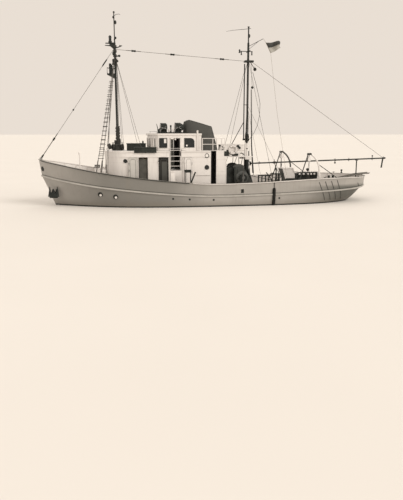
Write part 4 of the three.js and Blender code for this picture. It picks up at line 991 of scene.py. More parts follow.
def searchlight_detail():
    """Drum bands, cradle, lens and yoke of the two lamps."""
    for label, at, back in SEARCHLIGHTS:
        drum = Shape(f"searchlight_drum_{label}", "black", at=at)
        lens = Shape(f"searchlight_lens_{label}", "lamp_glass", at=at)
        yoke = Shape(f"searchlight_yoke_{label}", "steel", slot="black_paint", at=at)
        for x in (-0.11, -0.03, 0.05, 0.13):
            drum.ring((x, 0, 0), ALONG, 0.254, 0.012, 30)
        drum.turned(back, (0, 0, 0), ALONG, 24)
        drum.turned([(0.13, 0.252), (0.2, 0.268), (0.205, 0.25), (0.16, 0.24)], (0, 0, 0), ALONG, 30)
        foot = WHEELHOUSE_ROOF + 0.07 - at[2]
        drum.prism(((0.22, foot), (0.14, -0.2), (-0.12, -0.2), (-0.2, foot)), (-0.16, 0.16))
        drum.twin([(0.02, 0.05, -0.3), (0.02, 0.285, -0.24), (0.02, 0.285, 0)], 0.018)
        for side in (-1, 1):
            drum.turned([(0, 0.045), (0.03, 0.04)], (0.02, side * 0.262, 0), (0, side, 0), 14)
        drum.tube([(0.02, -0.05, -0.3), (0.02, 0.05, -0.3)], 0.03)
        lens.turned([(0.165, 0.238), (0.2, 0.232), (0.235, 0.17), (0.25, 0.08)], (0, 0, 0), ALONG, 28)
        for x in (-0.15, 0.19):
            yoke.twin([(0.02, 0.285, -0.02), (x, 0.275, -0.1), (x, 0.18, -0.26)], 0.011, 6)
        for side in (-1, 1):
            yoke.bar((-0.11, side * 0.262, 0.03), (0.16, side * 0.262, -0.01), 0.02, 0.012, ACROSS)


def lamp_plinth():
    """The plinth below the searchlights, with the small masts and globes beside them."""
    shape, roof = Shape("lamp_plinth", "black"), WHEELHOUSE_ROOF
    shape.slab((1.58, 0.1, roof + 0.001), (3.12, 0.66, roof + 0.075), 0.012)
    stem = [(0, 0.05), (0.28, 0.034), (0.3, 0.052), (0.4, 0.046), (0.42, 0.02)]
    shape.turned(stem, (2.34, 0.4, roof + 0.07), sides=14)
    shape.tube([(3.1, 0.4, roof), (3.11, 0.4, 4.4), (3.18, 0.4, 4.66)], [0.03, 0.022, 0.014])
    shape.slab((3.0, 0.5, roof), (3.13, 0.68, 4.3), 0.02)
    shape.tube([(3.08, 0.59, 4.29), (2.98, 0.59, 4.4)], [0.06, 0.03], 10)
    globes = Shape("roof_lamp_globes", "trim", at=(0, 0.52, WHEELHOUSE_ROOF + 0.07))
    globe = [(0, 0.03), (0.05, 0.055), (0.13, 0.062), (0.19, 0.045), (0.21, 0.015)]
    for x in (2.44, 2.2):
        globes.turned(globe, (x, 0, 0), sides=14)


def compass_and_gear():
    """What shows through the wheelhouse windows."""
    shape = Shape("binnacle_and_telegraph", "bronze", slot="bronze")
    shape.turned([(0, 0.12), (0.12, 0.11), (0.18, 0.13), (0.22, 0.1), (0.24, 0.03)], (3.2, 0, 3.08))
    shape.tube([(3.1, -0.28, 3.08), (3.1, -0.28, 3.3)], 0.02)
    shape.turned([(0, 0.07), (0.05, 0.07)], (3.07, -0.28, 3.32), ALONG, 16)
    beams = Shape("wheelhouse_beams", "trim")
    for x in (2.0, 2.7, 3.3):
        beams.post(x, 0, 3.95, 4.0, (0.02, 1.36), 0.006)


def funnel_detail():
    """The rim along the raked top, and two bands."""
    shape = Shape("funnel_bands", "funnel", slot="funnel_grey")
    middle, half_length, half_width = 0.51, 1.07, 0.5

    def height(x):
        """The raked top of the funnel at a length."""
        return 4.5 + (x + 0.11) * (4.89 - 4.5) / 1.36 if x < 1.25 else 4.89 - (x - 1.25) * 0.5

    rim = [(max(min(middle + half_length * 0.985 * cos(a), 1.5), -0.09), half_width * 0.995 * sin(a))
           for a in turns(48)]
    shape.tube([(x, y, height(x)) for x, y in rim], 0.018, 6, closed=True)
    for z in (3.55, 4.1):
        aft = -0.534 + (z - ROOF_TOP) * (0.42 / 1.37)
        shape.tube([(max(middle + (half_length + 0.002) * cos(a), aft), (half_width + 0.004) * sin(a), z)
                    for a in turns(64)], 0.01, 6, closed=True)


def locker_detail():
    """Covers with lashings on the lockers of the house top, and the sills below them."""
    cover, lashings = Shape("locker_covers", "black"), Shape("locker_lashings", "dark_rope")
    for x0, y0, x1, y1, top in ((3.86, 0.15, 4.93, 0.85, 3.54), (3.35, 1.5, 4.58, 1.82, 3.34)):
        cover.slab((x0 - 0.02, y0 - 0.02, top - 0.05), (x1 + 0.02, y1 + 0.02, top + 0.012), 0.02)
        strap = [(y1 + 0.008, ROOF_TOP + 0.02), (y1 + 0.024, top - 0.02), (y1 + 0.01, top + 0.018),
                 (y0 - 0.01, top + 0.018), (y0 - 0.024, top - 0.02), (y0 - 0.008, ROOF_TOP + 0.02)]
        for t in (0.25, 0.75):
            lashings.tube([(x0 + (x1 - x0) * t, y, z) for y, z in strap], 0.009, 6)
    cover.turned([(0, 0.05), (0.12, 0.045), (0.13, 0.03), (0.16, 0.02)], (4.0, 0.5, 3.54), sides=12)
    sill = Shape("locker_sills", "black")
    for _, sign in SIDES:
        y, z = sign * 1.885, ROOF_TOP - 0.045
        sill.bar((3.35, y, z), (4.6, y, z), 0.1, 0.035, (0, sign, 0))


def house_gutters():
    """Gutters under the roof's edge, a down pipe and a hand rail on each side."""
    shape, eaves = Shape("house_gutters", "trim"), ROOF_TOP - 0.03
    shape.twin([(2.66, 1.85, eaves), (4.95, 1.86, eaves)], 0.018, 6)
    shape.twin([(0.2, 1.85, eaves), (1.9, 1.85, eaves)], 0.018, 6)
    shape.twin([(1.83, 1.84, 2.78), (1.83, 1.84, 1.0)], 0.022)
    shape.twin([(0.24, 1.83, 1.75), (1.18, 1.83, 1.75)], 0.014)
    for x in (0.3, 0.7, 1.12):
        shape.twin([(x, 1.8, 1.75), (x, 1.83, 1.75)], 0.01, 6)


def hanging_coil(shape, at, axis, width, drop, loops, thick, seed):
    """A coil of rope hung over a pin: long loops that lie side by side."""
    chance = random.Random(seed)
    axis = Vector(axis).normalized()
    side = axis.cross(Vector(UP)).normalized()
    for k in range(loops):
        depth = drop * (0.85 + 0.3 * chance.random())
        reach = width * (0.75 + 0.4 * chance.random())
        start = Vector(at) + axis * (0.02 + 0.022 * k)
        loop = [start + side * (reach * sin(a)) - up(depth * (1 - cos(a)) / 2) for a in turns(20)]
        shape.tube(loop, thick, 6, closed=True)


def pulley(shape, at, size=0.1, hang=UP):
    """A wooden block: two rounded cheeks with a sheave between and an eye."""
    at, hang = Vector(at), Vector(hang).normalized()
    side = hang.orthogonal().normalized()
    for s in (-1, 1):
        shape.turned([(0.012, size * 0.72), (0.03, size * 0.75), (0.045, size * 0.55)], at, side * s, 14)
    shape.collar(at, 0.012, size * 0.6, side, 14)
    shape.ring(at + hang * size * 0.95, side, size * 0.25, size * 0.07, 12)


def lamp(shape, glass, at, radius, height):
    """A navigation lamp: foot, cap and lens."""
    for part, profile in ((shape, ((0, 1.2), (0.25, 1.15), (0.27, 0.8))),
                          (shape, ((0.72, 0.8), (0.74, 1.2), (0.92, 0.7), (1, 0.25))),
                          (glass, ((0.26, 0.8), (0.5, 0.95), (0.73, 0.8)))):
        part.turned([(height * z, radius * r) for z, r in profile], at, sides=16)


def foremast_gear():
    """Truck, horns, balls, bands, lamps on their brackets, and the cleats."""
    shape = Shape("foremast_fittings", "black", at=(FOREMAST_X, 0, 0))
    glass = Shape("foremast_lamp_lenses", "dark_glass", at=shape.at)
    shape.turned([(0, 0.05), (0.05, 0.06), (0.08, 0.02)], (0, 0, 10.76), sides=14)
    horn = [(0, 0, 10.58), (-0.14, 0, 10.68), (-0.28, 0, 10.7), (-0.36, 0, 10.66)]
    shape.tube(horn, [0.014, 0.014, 0.012, 0.008], 6)
    for x, y, z, radius, squash in ((0.03, 0, 10.52, 0.06, 1.2), (-0.07, 0, 10.25, 0.07, 1.6),
                                    (-0.06, 0, 9.42, 0.055, 1.3), (-0.3, 0, 9.0, 0.045, 1),
                                    (0.09, 0.1, 8.56, 0.065, 1.8)):
        shape.ball((x, y, z), radius, squash)
    for z in (9.32, 8.95, 8.45, 7.25, 6.0, 4.6, 3.6):
        shape.collar((0, 0, z), 0.02, 0.068 if z < 9 else 0.045)
    shape.slab((-0.05, -0.03, 8.46), (-0.02, 0.03, 9.16))
    lamp(shape, glass, (0.25, 0, 9.15), 0.085, 0.4)
    lamp(shape, glass, (0.24, 0, 7.47), 0.1, 0.5)
    lamp(shape, glass, (0.1, 0, 7.95), 0.07, 0.34)
    shape.tube([(0.02, 0, 9.13), (0.52, 0, 9.12)], [0.045, 0.028])
    shape.prism(((0, 8.75), (0, 9.13), (0.34, 9.13)), (-0.02, 0.02))
    shape.twin([(0.47, 0.16, 7.48), (0.47, 0.16, 7.78), (0.02, 0.16, 7.74)], 0.014)
    shape.tube([(0.47, -0.16, 7.78), (0.47, 0.16, 7.78)], 0.014)
    shape.tube([(-0.05, 0, 8.87), (-0.27, 0, 8.95), (-0.42, 0, 9.01)], [0.03, 0.028, 0.02])
    shape.tube([(-0.05, 0, 8.42), (-0.3, 0, 8.45)], 0.03)
    for z, side in ((4.0, 1), (4.25, -1), (3.75, 1), (3.9, -1)):
        cleat = ((-0.1, 0.05, -0.1), (-0.09, 0.09, 0), (-0.1, 0.05, 0.1))
        shape.tube([(x, side * y, z + rise) for x, y, rise in cleat], [0.01, 0.018, 0.01])


def foremast_ropes():
    """Blocks, falls, coils and whippings on the foremast."""
    at = (FOREMAST_X, 0, 0)
    ropes, blocks = Shape("foremast_falls", "dark_rope", at=at), Shape("foremast_blocks", "black", at=at)
    pulley(blocks, (-0.24, 0, 8.45), 0.09, (1, 0, 0.2))
    pulley(blocks, (-0.12, 0.1, 8.15), 0.08)
    for z, drop, axis, seed in ((3.8, 0.3, (-1, 0.5, 0), 1), (3.72, 0.25, (1, 0.3, 0), 4)):
        hanging_coil(ropes, up(z) + Vector(axis).normalized() * 0.08, axis, 0.07, drop, 4, 0.014, seed)
    for y, top in ((0.03, 8.1), (-0.04, 7.2), (0.06, 8.35)):
        ropes.tube([(-0.09, y, 3.6), (-0.085, y, 5.0), (-0.1, y * 0.6, top)], 0.014, 6)
    for z in (8.15, 8.4, 8.65, 8.9):
        for turn in range(4):
            ropes.ring((0, 0, z + 0.035 * turn), UP, 0.085, 0.022, 16)


def pin_rail():
    """The round rail at the foremast's foot, with its pins, coils and stacked rope."""
    shape = Shape("pin_rail", "dark_rope", at=(FOREMAST_X, 0, ROOF_TOP))
    for angle in range(20, 380, 60):
        shape.turned([(0, 0.03), (0.34, 0.025)], level(angle, 0.3), sides=8)
    shape.ring((0, 0, 0.33), UP, 0.3, 0.022, 28, 8)
    for turn in range(9):
        shape.ring((0, 0, 0.02 + 0.04 * turn), UP, 0.26 - 0.012 * turn, 0.03, 24)
    for turn in range(20):
        lean, radius = 0.03 + 0.012 * sin(turn * 1.7), 0.105 + 0.01 * sin(turn * 2.3)
        shape.ring((-lean, 0, 0.38 + 0.052 * turn), (0.1, 0, 1), radius, 0.028, 18)
    slant = Vector((0.45, 0.1, 1)).normalized()
    for turn in range(6):
        shape.ring(Vector((0.42, 0, 0.12)) + slant * 0.05 * turn, slant, 0.1 - 0.004 * turn, 0.032, 18)
    for angle in range(0, 360, 36):
        shape.turned([(-0.1, 0.011), (0.1, 0.014), (0.13, 0.02)], level(angle, 0.3) + up(0.34), sides=8)
    for k, angle in enumerate((40, 140, 220, 320)):
        hanging_coil(shape, level(angle, 0.31) + up(0.36), level(angle), 0.09, 0.3, 4, 0.013, 20 + k)


def rig_shrouds(name, sign):
    """Ladders of rungs, bottle screws at the feet and seizings on the shrouds."""
    rungs, screws = Shape(f"ratlines_{name}", "dark_rope"), Shape(f"rigging_screws_{name}", "wire")
    fore, main = [[Vector((x, sign * y, z)) for x, y, z in places] for places in SHROUDS]
    for k in range(18):
        z = 2.75 + 0.25 * k
        a, b = (foot.lerp(fore[0], (z - foot.z) / (fore[0].z - foot.z)) for foot in fore[1:3])
        half = (a - b).normalized() * max(0.13, (a - b).length / 2 + 0.04)
        rungs.tube([(a + b) / 2 - half, (a + b) / 2 + half], 0.016, 6)
    for eye, *feet in (fore, main):
        for foot in feet:
            along = (eye - foot).normalized()
            screw = [foot + along * t for t in (0.04, 0.08, 0.12, 0.42, 0.46, 0.55)]
            screws.tube(screw, [0.018, 0.034, 0.03, 0.03, 0.034, 0.014])
            screws.tube([foot + along * 1.3, foot + along * 1.38], 0.018)


def running_rigging():
    """Backstays, halyards and falls that show as thin lines, and the insulators of two stays."""
    wires, beads = Shape("running_rigging", "wire"), Shape("stay_insulators", "black")
    wires.twin([(5.4, 0.05, 8.44), (5.13, 1.35, ROOF_TOP)], 0.009, 6)
    wires.twin([(5.38, 0.05, 8.17), (4.12, 1.45, ROOF_TOP)], 0.009, 6)
    wires.twin([(5.72, 0.3, 7.08), (6.1, 2.33, 1.92)], 0.009, 6)
    wires.twin([(MAINMAST_X, 0.06, 5.78), (-3.99, 2.45, 1.44)], 0.007, 6)
    top, foot = Vector((FOREMAST_X, 0, 8.9)), Vector((9.9, 0.03, 2.635))
    for places, thin, thick in (((0.1, 0.114, 0.156, 0.17), 0.014, 0.034),
                                ((0.545, 0.548, 0.557, 0.56), 0.014, 0.045),
                                ((0.8, 0.806, 0.824, 0.83), 0.014, 0.05),
                                ((0.955, 0.96, 0.985, 0.99), 0.02, 0.045)):
        beads.tube([top.lerp(foot, t) for t in places], [thin, thick, thick, thin], 10)
    wires.tube([top.lerp(foot, t) for t in (0.765, 0.99)], 0.022)
    slope = Vector((7.68, 0, 0.49)).normalized()
    profile = [(-0.13, 0.02), (-0.1, 0.062), (-0.03, 0.045), (0.03, 0.045), (0.1, 0.062), (0.13, 0.02)]
    for middle in (Vector((4.39, 0, 8.735)), Vector((2.15, 0, 8.59)), Vector((-0.79, 0, 8.4))):
        beads.turned(profile, middle, slope, 10)
        wires.tube([middle - slope * 0.42, middle + slope * 0.42], 0.019, 6)


def mainmast_gear():
    """Truck, whip, lamps, bands, blocks and falls of the mainmast."""
    shape, glass = Shape("mainmast_fittings", "black"), Shape("mainmast_lamp_lenses", "dark_glass")
    ropes, x = Shape("mainmast_falls", "dark_rope"), MAINMAST_X
    shape.turned([(0, 0.05), (0.04, 0.075), (0.06, 0.03)], (x, 0, 10.21), sides=14)
    whip = [(x - 0.14, 0, 10.16), (x + 0.3, 0, 10.1), (x + 0.95, 0, 10.03), (x + 1.36, 0, 9.95)]
    shape.tube(whip, [0.016, 0.014, 0.01, 0.006], 6)
    shape.ball((x - 0.04, 0, 9.74), 0.07, 1.6)
    shape.tube([(x - 0.26, 0, 8.87), (x + 0.53, 0, 8.87)], 0.022)
    lamp(shape, glass, (x + 0.53, 0, 8.78), 0.05, 0.2)
    lamp(shape, glass, (x + 0.42, 0, 8.66), 0.036, 0.2)
    lamp(shape, glass, (x - 0.22, 0, 8.66), 0.036, 0.2)
    for z in (8.38, 7.0, 5.8, 4.4, 3.2):
        shape.collar((x, 0, z), 0.03, 0.07)
    shape.bar((x, 0, 5.8), (-2.13, 0, 5.8), 0.04, 0.03)
    pulley(Shape("masthead_block", "black"), (-2.8, 0.02, 7.86), 0.13, (0.4, 0, 1))
    pulley(shape, (-2.66, 0.02, 6.81))
    shape.tube([(-2.8, 0.13, 1.74), (-2.8, 0.13, 1.62), (-2.76, 0.13, 1.56), (-2.71, 0.13, 1.6)], 0.016)
    for points, radius in (
        ([(-2.5, 0, 8.3), (-2.7, 0.01, 8.0), (-2.78, 0.02, 7.9)], 0.018),
        ([(-2.56, 0, 8.28), (-2.64, 0.02, 6.95)], 0.009),
        ([(-2.62, 0.02, 6.7), (-2.67, 0.1, 3.4), (-2.8, 0.13, 1.72)], [0.014, 0.02, 0.028]),
        ([(-2.58, 0.02, 6.7), (-2.63, 0.12, 3.4), (-2.74, 0.16, 1.72)], [0.012, 0.018, 0.024]),
        ([(-2.66, 0.05, 7.7), (-2.87, 0.06, 7.02), (-3.06, 0.08, 6.3), (-3.14, 0.1, 5.86), (-3.12, 0.1, 5.2),
          (-3.0, 0.1, 4.59), (-2.78, 0.08, 4.1), (-2.46, 0.07, 3.68)], 0.012),
        ([(x + 0.02, 0.05, 8.3), (-2.02, 0.35, 7.5), (-0.62, 1.45, 3.18)], 0.009),
        ([(x + 0.24, 0.03, 4.76), (-1.25, 0.5, 3.35)], 0.022),
    ):
        ropes.tube(points, radius, 6)
    hanging_coil(ropes, (x + 0.05, 0.08, 4.2), (0.2, 1, 0), 0.1, 0.6, 5, 0.014, 7)
    hanging_coil(ropes, (x - 0.05, -0.08, 4.1), (0.2, -1, 0), 0.1, 0.55, 5, 0.014, 8)


def make_flag():
    """Bunting that streams aft from the slanting halyard, its lower half folded up towards the fly."""
    top, low, nip = Vector((-3.44, 0, 9.4)), Vector((-3.76, 0, 8.82)), Vector((0.004, 0, 0))
    width, length, columns, rows = 0.662, 0.95, 40, 24
    lines = Shape("flag_halyard", "rope")
    lines.tube([(-3.29, 0, 9.61), top, low, (-4.2, 0.25, 5.2), (-4.34, 1.9, 1.72)], 0.006, 6)
    lines.tube([top + nip + up(0.01), low + nip - up(0.01)], 0.01)
    lines.made()

    def place(u, v):
        furl = 0.1 * sin(10 * u + 1.2 * v) * u ** 0.7 + 0.13 * u * sin(2 * pi * v)
        stream = Vector((0.1 * u * v - length * 0.9 * u, furl, 0.1 * u - 0.03 * sin(5 * u)))
        return top + (low - top) * v * (1 - 0.35 * u) + stream

    flag = cloth("flag", "flag", columns, rows, place, 0.0015)
    band = flag.data.attributes.new("band", "FLOAT", "POINT")
    band.data.foreach_set("value", [1 - v for v in shares(rows)] * (columns + 1))


def boom_gear():
    """Bands with eyes, the cap, two blocks and a rope lashing on the boom."""
    shape, blocks = Shape("boom_bands", "black", "boom"), Shape("boom_blocks", "black", "boom")
    rope = Shape("boom_lashing", "dark_rope", "boom")
    along = (BOOM_TIP - BOOM_HEEL).normalized()

    def on_boom(x):
        return BOOM_HEEL + along * ((x - BOOM_HEEL.x) / along.x)

    for x, eyes in ((-3.2, 1), (-5.2, 1), (-8.16, 2), (-9.08, 2), (-10.68, 2), (-11.45, 1)):
        shape.collar(on_boom(x), 0.03, 0.054, along, 14)
        for side in (1, -1)[:eyes]:
            shape.ring(on_boom(x) + up(0.065 * side), ACROSS, 0.03, 0.009, 12)
    shape.turned([(0, 0.06), (0.07, 0.055), (0.09, 0.03)], on_boom(-11.5), along, 14)
    shape.turned([(0, 0.06), (0.05, 0.05)], (-11.342, 0, 2.0), (0.13, 0, -1), 12)
    pulley(blocks, on_boom(-8.16) - up(0.17), 0.07)
    pulley(blocks, on_boom(-10.68) + up(0.17), 0.06, (0, 0, -1))
    for k in range(5):
        rope.ring(on_boom(-4.1 - 0.035 * k), along, 0.058, 0.015, 18)


def winch_drums():
    """Wound warps, and the rims and warping ends of the drums."""
    drum = Shape("wound_warps", "wire", "winch_drum", at=(-1.89, 0, 1.51))
    rims = Shape("winch_rims", "black", "winch_drum", at=drum.at)
    radius, pitch, steps = 0.262, 0.03, 14
    for low, high in ((-0.78, -0.22), (0.22, 0.78)):
        count = int((high - low) / pitch) * steps
        drum.tube([spoke(2 * pi * i / steps, radius) + Vector((0, low + (high - low) * i / count, 0))
                   for i in range(count + 1)], 0.017, 5)
        drum.turned([(0, 0.25), (high - low, 0.25)], (0, low, 0), ACROSS, 28)
    for y in (-0.808, -0.193, 0.192, 0.802):
        rims.ring((0, y, 0), ACROSS, 0.4, 0.02, 36)
    end = [(0, 0.205), (0.05, 0.175), (0.16, 0.16), (0.27, 0.175), (0.325, 0.215), (0.335, 0.215),
           (0.345, 0.1)]
    for side in (-1, 1):
        rims.turned(end, (0, side * 0.915, 0), (0, side, 0), 28)


def winch_fittings():
    """Levers, stays, hubs, straps and hand wheels on the winch frame, its top plate and its slats."""
    shape = Shape("winch_fittings", "black")
    shape.twin([(-1.16, 0.6, 2.04), (-1.2, 0.6, 2.16), (-1.24, 0.6, 2.22)], 0.016)
    shape.twin([(-1.7, 0.73, 2.72), (-1.7, 0.8, 2.45), (-1.7, 0.86, 2.17)], 0.018)
    shape.twin([(-1.95, 0.73, 2.72), (-1.8, 0.86, 2.18)], 0.018)
    shape.twin([(-1.3, 0.7, 1.75), (-1.3, 0.74, 1.75)], 0.03, 10)
    for side in (-1, 1):
        shape.ball((-1.25, side * 0.6, 2.23), 0.03)
        shape.collar((-1.26, side * 0.3, 2.06), 0.05, 0.12, ACROSS, 20)
        shape.turned([(0, 0.14), (0.03, 0.14), (0.05, 0.06)], (-1.9, side * 0.885, 1.51), (0, side, 0), 24)
        for foot, head in ((-1.6, -1.588), (-2.0, -1.98)):
            shape.bar((foot, side * 0.889, 0.9), (head, side * 0.889, 2.0), 0.008, 0.05, ALONG)
        hub = Vector((-1.3, side * 0.735, 1.75))
        shape.ring(hub, ACROSS, 0.17, 0.016, 24)
        for a in turns(8)[:4]:
            shape.tube([hub - spoke(a, 0.17), hub + spoke(a, 0.17)], 0.008, 6)
    shape.slab((-1.4, -0.66, 2.04), (-1.02, 0.66, 2.07), 0.012)
    for k in range(9):
        shape.post(-1.444, -0.6 + 0.15 * k, 0.95, 1.98, (0.008, 0.012))


def winch_brakes():
    """Hoods over the gear wheels, and the brake bands with their spokes."""
    covers = Shape("winch_covers", "funnel", slot="black_paint")
    bands = Shape("winch_brake_bands", "worn_steel", slot="black_paint")
    hood = [(-1.68 + 0.34 * cos(a), 2.13 + 0.19 * sin(a)) for a in turns(20)[:11]]
    for side in (-1, 1):
        out, hub = Vector((0, side, 0)), Vector((-1.9, side * 0.898, 1.51))
        covers.prism(hood, (side * 0.842, side * 0.882))
        covers.bar((-1.47, side * 0.62, 2.06), (-1.66, side * 0.66, 2.26), 0.05, 0.03, ACROSS)
        bands.turned([(0, 0.385), (0.012, 0.385), (0.02, 0.35), (0.012, 0.24)], hub - out * 0.012, out, 36)
        bands.ring(hub, ACROSS, 0.375, 0.014, 36)
        for a in turns(6):
            bands.bar(hub + spoke(a, 0.24), hub + spoke(a, 0.36), 0.03, 0.02, ACROSS)
        bands.turned([(0, 0.1), (0.01, 0.095), (0.02, 0.05)], (-1.89, side * 1.262, 1.51), out)


def gallery_detail():
    """Rails, life rings, lockers and a small davit at the gallery between casing and mast."""
    white, dark = Shape("gallery_rails", "trim"), Shape("gallery_gear", "black")
    rings = Shape("life_rings", "trim")
    white.twin([(-2.15, 0.74, 3.45), (-0.78, 0.74, 3.45)], 0.02)
    white.twin([(-2.15, 0.74, 3.12), (-0.78, 0.74, 3.12)], 0.012)
    dark.twin([(-2.33, 0.7, 2.79), (-2.33, 0.7, 3.08)], 0.03)
    dark.twin([(-1.78, 0.72, 2.92), (-1.85, 0.74, 2.97), (-2.0, 0.74, 2.9), (-2.08, 0.72, 2.82)], 0.022)
    for side in (-1, 1):
        centre = Vector((-1.32, side * 0.79, 3.15))
        rings.ring(centre, ACROSS, 0.22, 0.055, 32, 12)
        for a in turns(8)[1::2]:
            dark.ring(centre + spoke(a, 0.22), (-sin(a), 0, cos(a)), 0.058, 0.008, 16)
        dark.bar((-1.6, side * 0.77, 3.42), (-1.78, side * 0.77, 3.22), 0.12, 0.05, (0, side, 0))
        for shape, x0, y0, z0, x1, y1, z1, edge in (
            (dark, -1.1, 0.7, 2.79, -0.93, 0.78, 3.15, 0.012),
            (white, -1.18, 0.72, 2.73, -1.13, 0.76, 3.52, 0.008),
            (dark, -1.66, 0.74, 2.79, -1.28, 0.8, 2.93, 0.01),
            (white, -2.44, 0.6, 2.57, -2.1, 0.78, 2.76, 0.01),
        ):
            shape.slab((x0, side * y0, z0), (x1, side * y1, z1), edge)
    davit = [(-0.5, 0.6, ROOF_TOP), (-0.54, 0.62, 3.42), (-0.62, 0.62, 3.39), (-1.06, 0.66, 3.13)]
    dark.tube(davit, [0.028, 0.035, 0.03, 0.024])
    dark.ball((-0.54, 0.62, 3.42), 0.06, 1.2)
    pulley(dark, (-1.04, 0.66, 3.08), 0.05)


def gallows_detail(name, sign):
    """Brace, cross bar, cheeks of the hanging block, foot block and the trawl warp."""
    at = Vector((GALLOWS_SHIFT[name], sign * 2.2, 0))
    shape = Shape(f"gallows_fittings_{name}", "black", at=at)
    cheeks = Shape(f"gallows_block_cheeks_{name}", "trim", at=at)
    warp = Shape(f"trawl_warp_{name}", "wire", at=at)
    foot = rail_at(-7.3 + at.x, sign) - at
    shape.tube([(-6.18, 0, 2.33), foot + up(0.01)], 0.022)
    shape.turned([(0, 0.06), (0.02, 0.06)], foot, sides=12)
    shape.tube([(-5.01, 0, 1.25), (-6.29, 0, 1.25)], 0.02)
    pulley(shape, (-5.45, -sign * 0.02, 1.05), 0.12)
    x, z = -5.59, 2.59
    rim = [(-0.05, 0.08), (-0.045, 0.095), (-0.04, 0.075), (0.04, 0.075), (0.045, 0.095), (0.05, 0.08)]
    shape.turned(rim, (x, 0, z), ACROSS)
    outline = ((-0.07, -0.08), (0.07, -0.08), (0.09, 0.03), (0.035, 0.2), (-0.035, 0.2), (-0.09, 0.03))
    for side in (-0.06, 0.06):
        cheeks.prism([(x + dx, z + dz) for dx, dz in outline], (side - 0.006, side + 0.006))
    lead = Vector((-1.71, sign * 0.5, 1.75)) - at
    warp.tube([lead, (-5.46, -sign * 0.02, 0.98), (-5.6, 0, 2.51)], 0.011, 6)
    warp.tube([(-5.6, 0, 2.9), (-5.62, sign * 0.03, 1.3)], 0.012 if sign > 0 else 0.024, 6)


def net_heap(name, sign):
    """A trawl net heaped inside the pound, with corks along it."""
    shape, corks = Shape(f"net_heap_{name}", "net", angle=80), Shape(f"net_corks_{name}", "bare_wood")
    chance = random.Random(11 + sign)
    aft, length, inner, outer, low = -4.08, 1.38, 1.95, 2.4, deck_at(-3.4) + 0.005
    rings = []
    for u in shares(40):
        x, line = aft + length * u, []
        for v in shares(18):
            dome = sin(pi * u) ** 0.4 * sin(pi * v) ** 0.4
            lump = 0.5 + 0.5 * sin(9 * u + 3 * v) * cos(5 * v + 2 * u)
            rise = dome * (0.26 + 0.12 * lump + 0.05 * chance.random())
            line.append((x, sign * (inner + (outer - inner) * v), low + rise))
        rings.append([*line, (x, sign * outer, low - 0.004), (x, sign * inner, low - 0.004)])
    shape.skin(rings)
    for i in range(12):
        x, y, z = aft + length * (i + 0.5) / 12, 2.16 + 0.08 * sin(i * 2.1), low + 0.36 + 0.04 * sin(i * 1.3)
        corks.ball((x, sign * y, z), 0.055, 0.8, 12, 6)


def float_rack():
    """Net floats on a rack at the port side."""
    floats, white = Shape("net_floats", "trim"), Shape("float_rack_rail", "trim")
    for x in (-5.13, -5.38, -5.65, -5.85, -6.05):
        floats.ball((x, 1.945, 1.742), 0.062, 0.9, 18, 10)
        floats.ball((x + 0.06, 1.7, 1.85), 0.075, 1, 18, 10)
    white.slab((-6.42, 1.46, 0.83), (-6.26, 1.9, 1.84), 0.01)
    for x0, y0, x1, y1 in ((-6.26, 1.96, -5.02, 1.98), (-6.26, 1.4, -6.24, 1.98), (-5.03, 1.4, -5.01, 1.98)):
        white.slab((x0, y0, 1.875), (x1, y1, 1.895), 0.004)


def after_deck_gear():
    """Dark bars of the float rack, a ball on its post, struts below the boom and a roller on the rail."""
    dark = Shape("after_deck_gear", "black")
    dark.slab((-6.25, 1.88, 1.66), (-5.02, 2.01, 1.685), 0.004)
    dark.slab((-6.25, 1.885, 1.8), (-5.02, 1.9, 1.86), 0.004)
    for x in (-5.04, -6.23):
        for y in (1.42, 1.97):
            dark.post(x, y, 1.67, 1.88, (0.012, 0.012))
    dark.ball((-6.13, 0.6, 1.93), 0.1, 0.9)
    dark.tube([(-6.13, 0.6, 0.8), (-6.13, 0.6, 1.87)], 0.035, 10)
    dark.twin([(-4.3, 0.16, 1.13), (-4.3, 0.048, 2.0)], 0.022)
    for points, radius in (
        ([(-4.04, 0, 1.13), (-4.04, 0, 1.6), (-4.3, 0, 2.02), (-4.44, 0, 1.78), (-4.46, 0, 1.13)], 0.026),
        ([(-4.16, 0, 2.3), (-4.16, 0, 2.53)], 0.018),
        ([(-4.3, 0, 2.0), (-4.16, 0, 2.32)], 0.018),
        ([(-4.66, 0, 2.26), (-4.6, 0, 1.96)], 0.014),
        ([(-3.48, 0.6, 1.78), (-3.75, 0.62, 1.45), (-3.95, 0.64, 0.8)], 0.03),
    ):
        dark.tube(points, radius)
    dark.turned([(-0.01, 0.075), (0.03, 0.07), (0.05, 0.04), (0.15, 0.04), (0.17, 0.08), (0.24, 0.05)],
                rail_at(-9.3, -1), sides=14)


def stern_spars():
    spars = Shape("stern_spars", "spar")
    for k, (y0, y1, z1) in enumerate(((-0.62, -0.1, 1.66), (-0.45, 0.12, 1.6), (0.3, 0.22, 1.64))):
        line = [(-7.6, y0, 1.08 + 0.05 * k), (-9.6, (y0 + y1) / 2, 1.56), (-10.45, y1, z1)]
        spars.tube(line, [0.03, 0.035, 0.028], 10)


def side_deck_gear():
    """What stands at the rail beside the house: a locker, a stand and a leaning plank."""
    white, dark = Shape("side_locker", "trim"), Shape("side_stand", "black")
    white.slab((2.38, 2.22, deck_at(2.5, 2.3)), (2.63, 2.46, 1.98), 0.012)
    white.slab((2.365, 2.205, 1.98), (2.645, 2.475, 2.03), 0.01)
    white.slab((2.4, 2.455, 1.62), (2.61, 2.466, 1.9), 0.004)
    for x in (1.5, 1.8):
        for y in (2.4, 2.5):
            dark.post(x, y, deck_at(x, y), 1.96, (0.014, 0.014))
    dark.slab((1.46, 2.37, 1.95), (1.84, 2.53, 2.11), 0.012)
    plank = Shape("leaning_plank", "black")
    plank.bar((1.7, 2.34, deck_at(1.7, 2.34) + 0.005), (1.22, 2.47, 1.98), 0.08, 0.035, ACROSS)


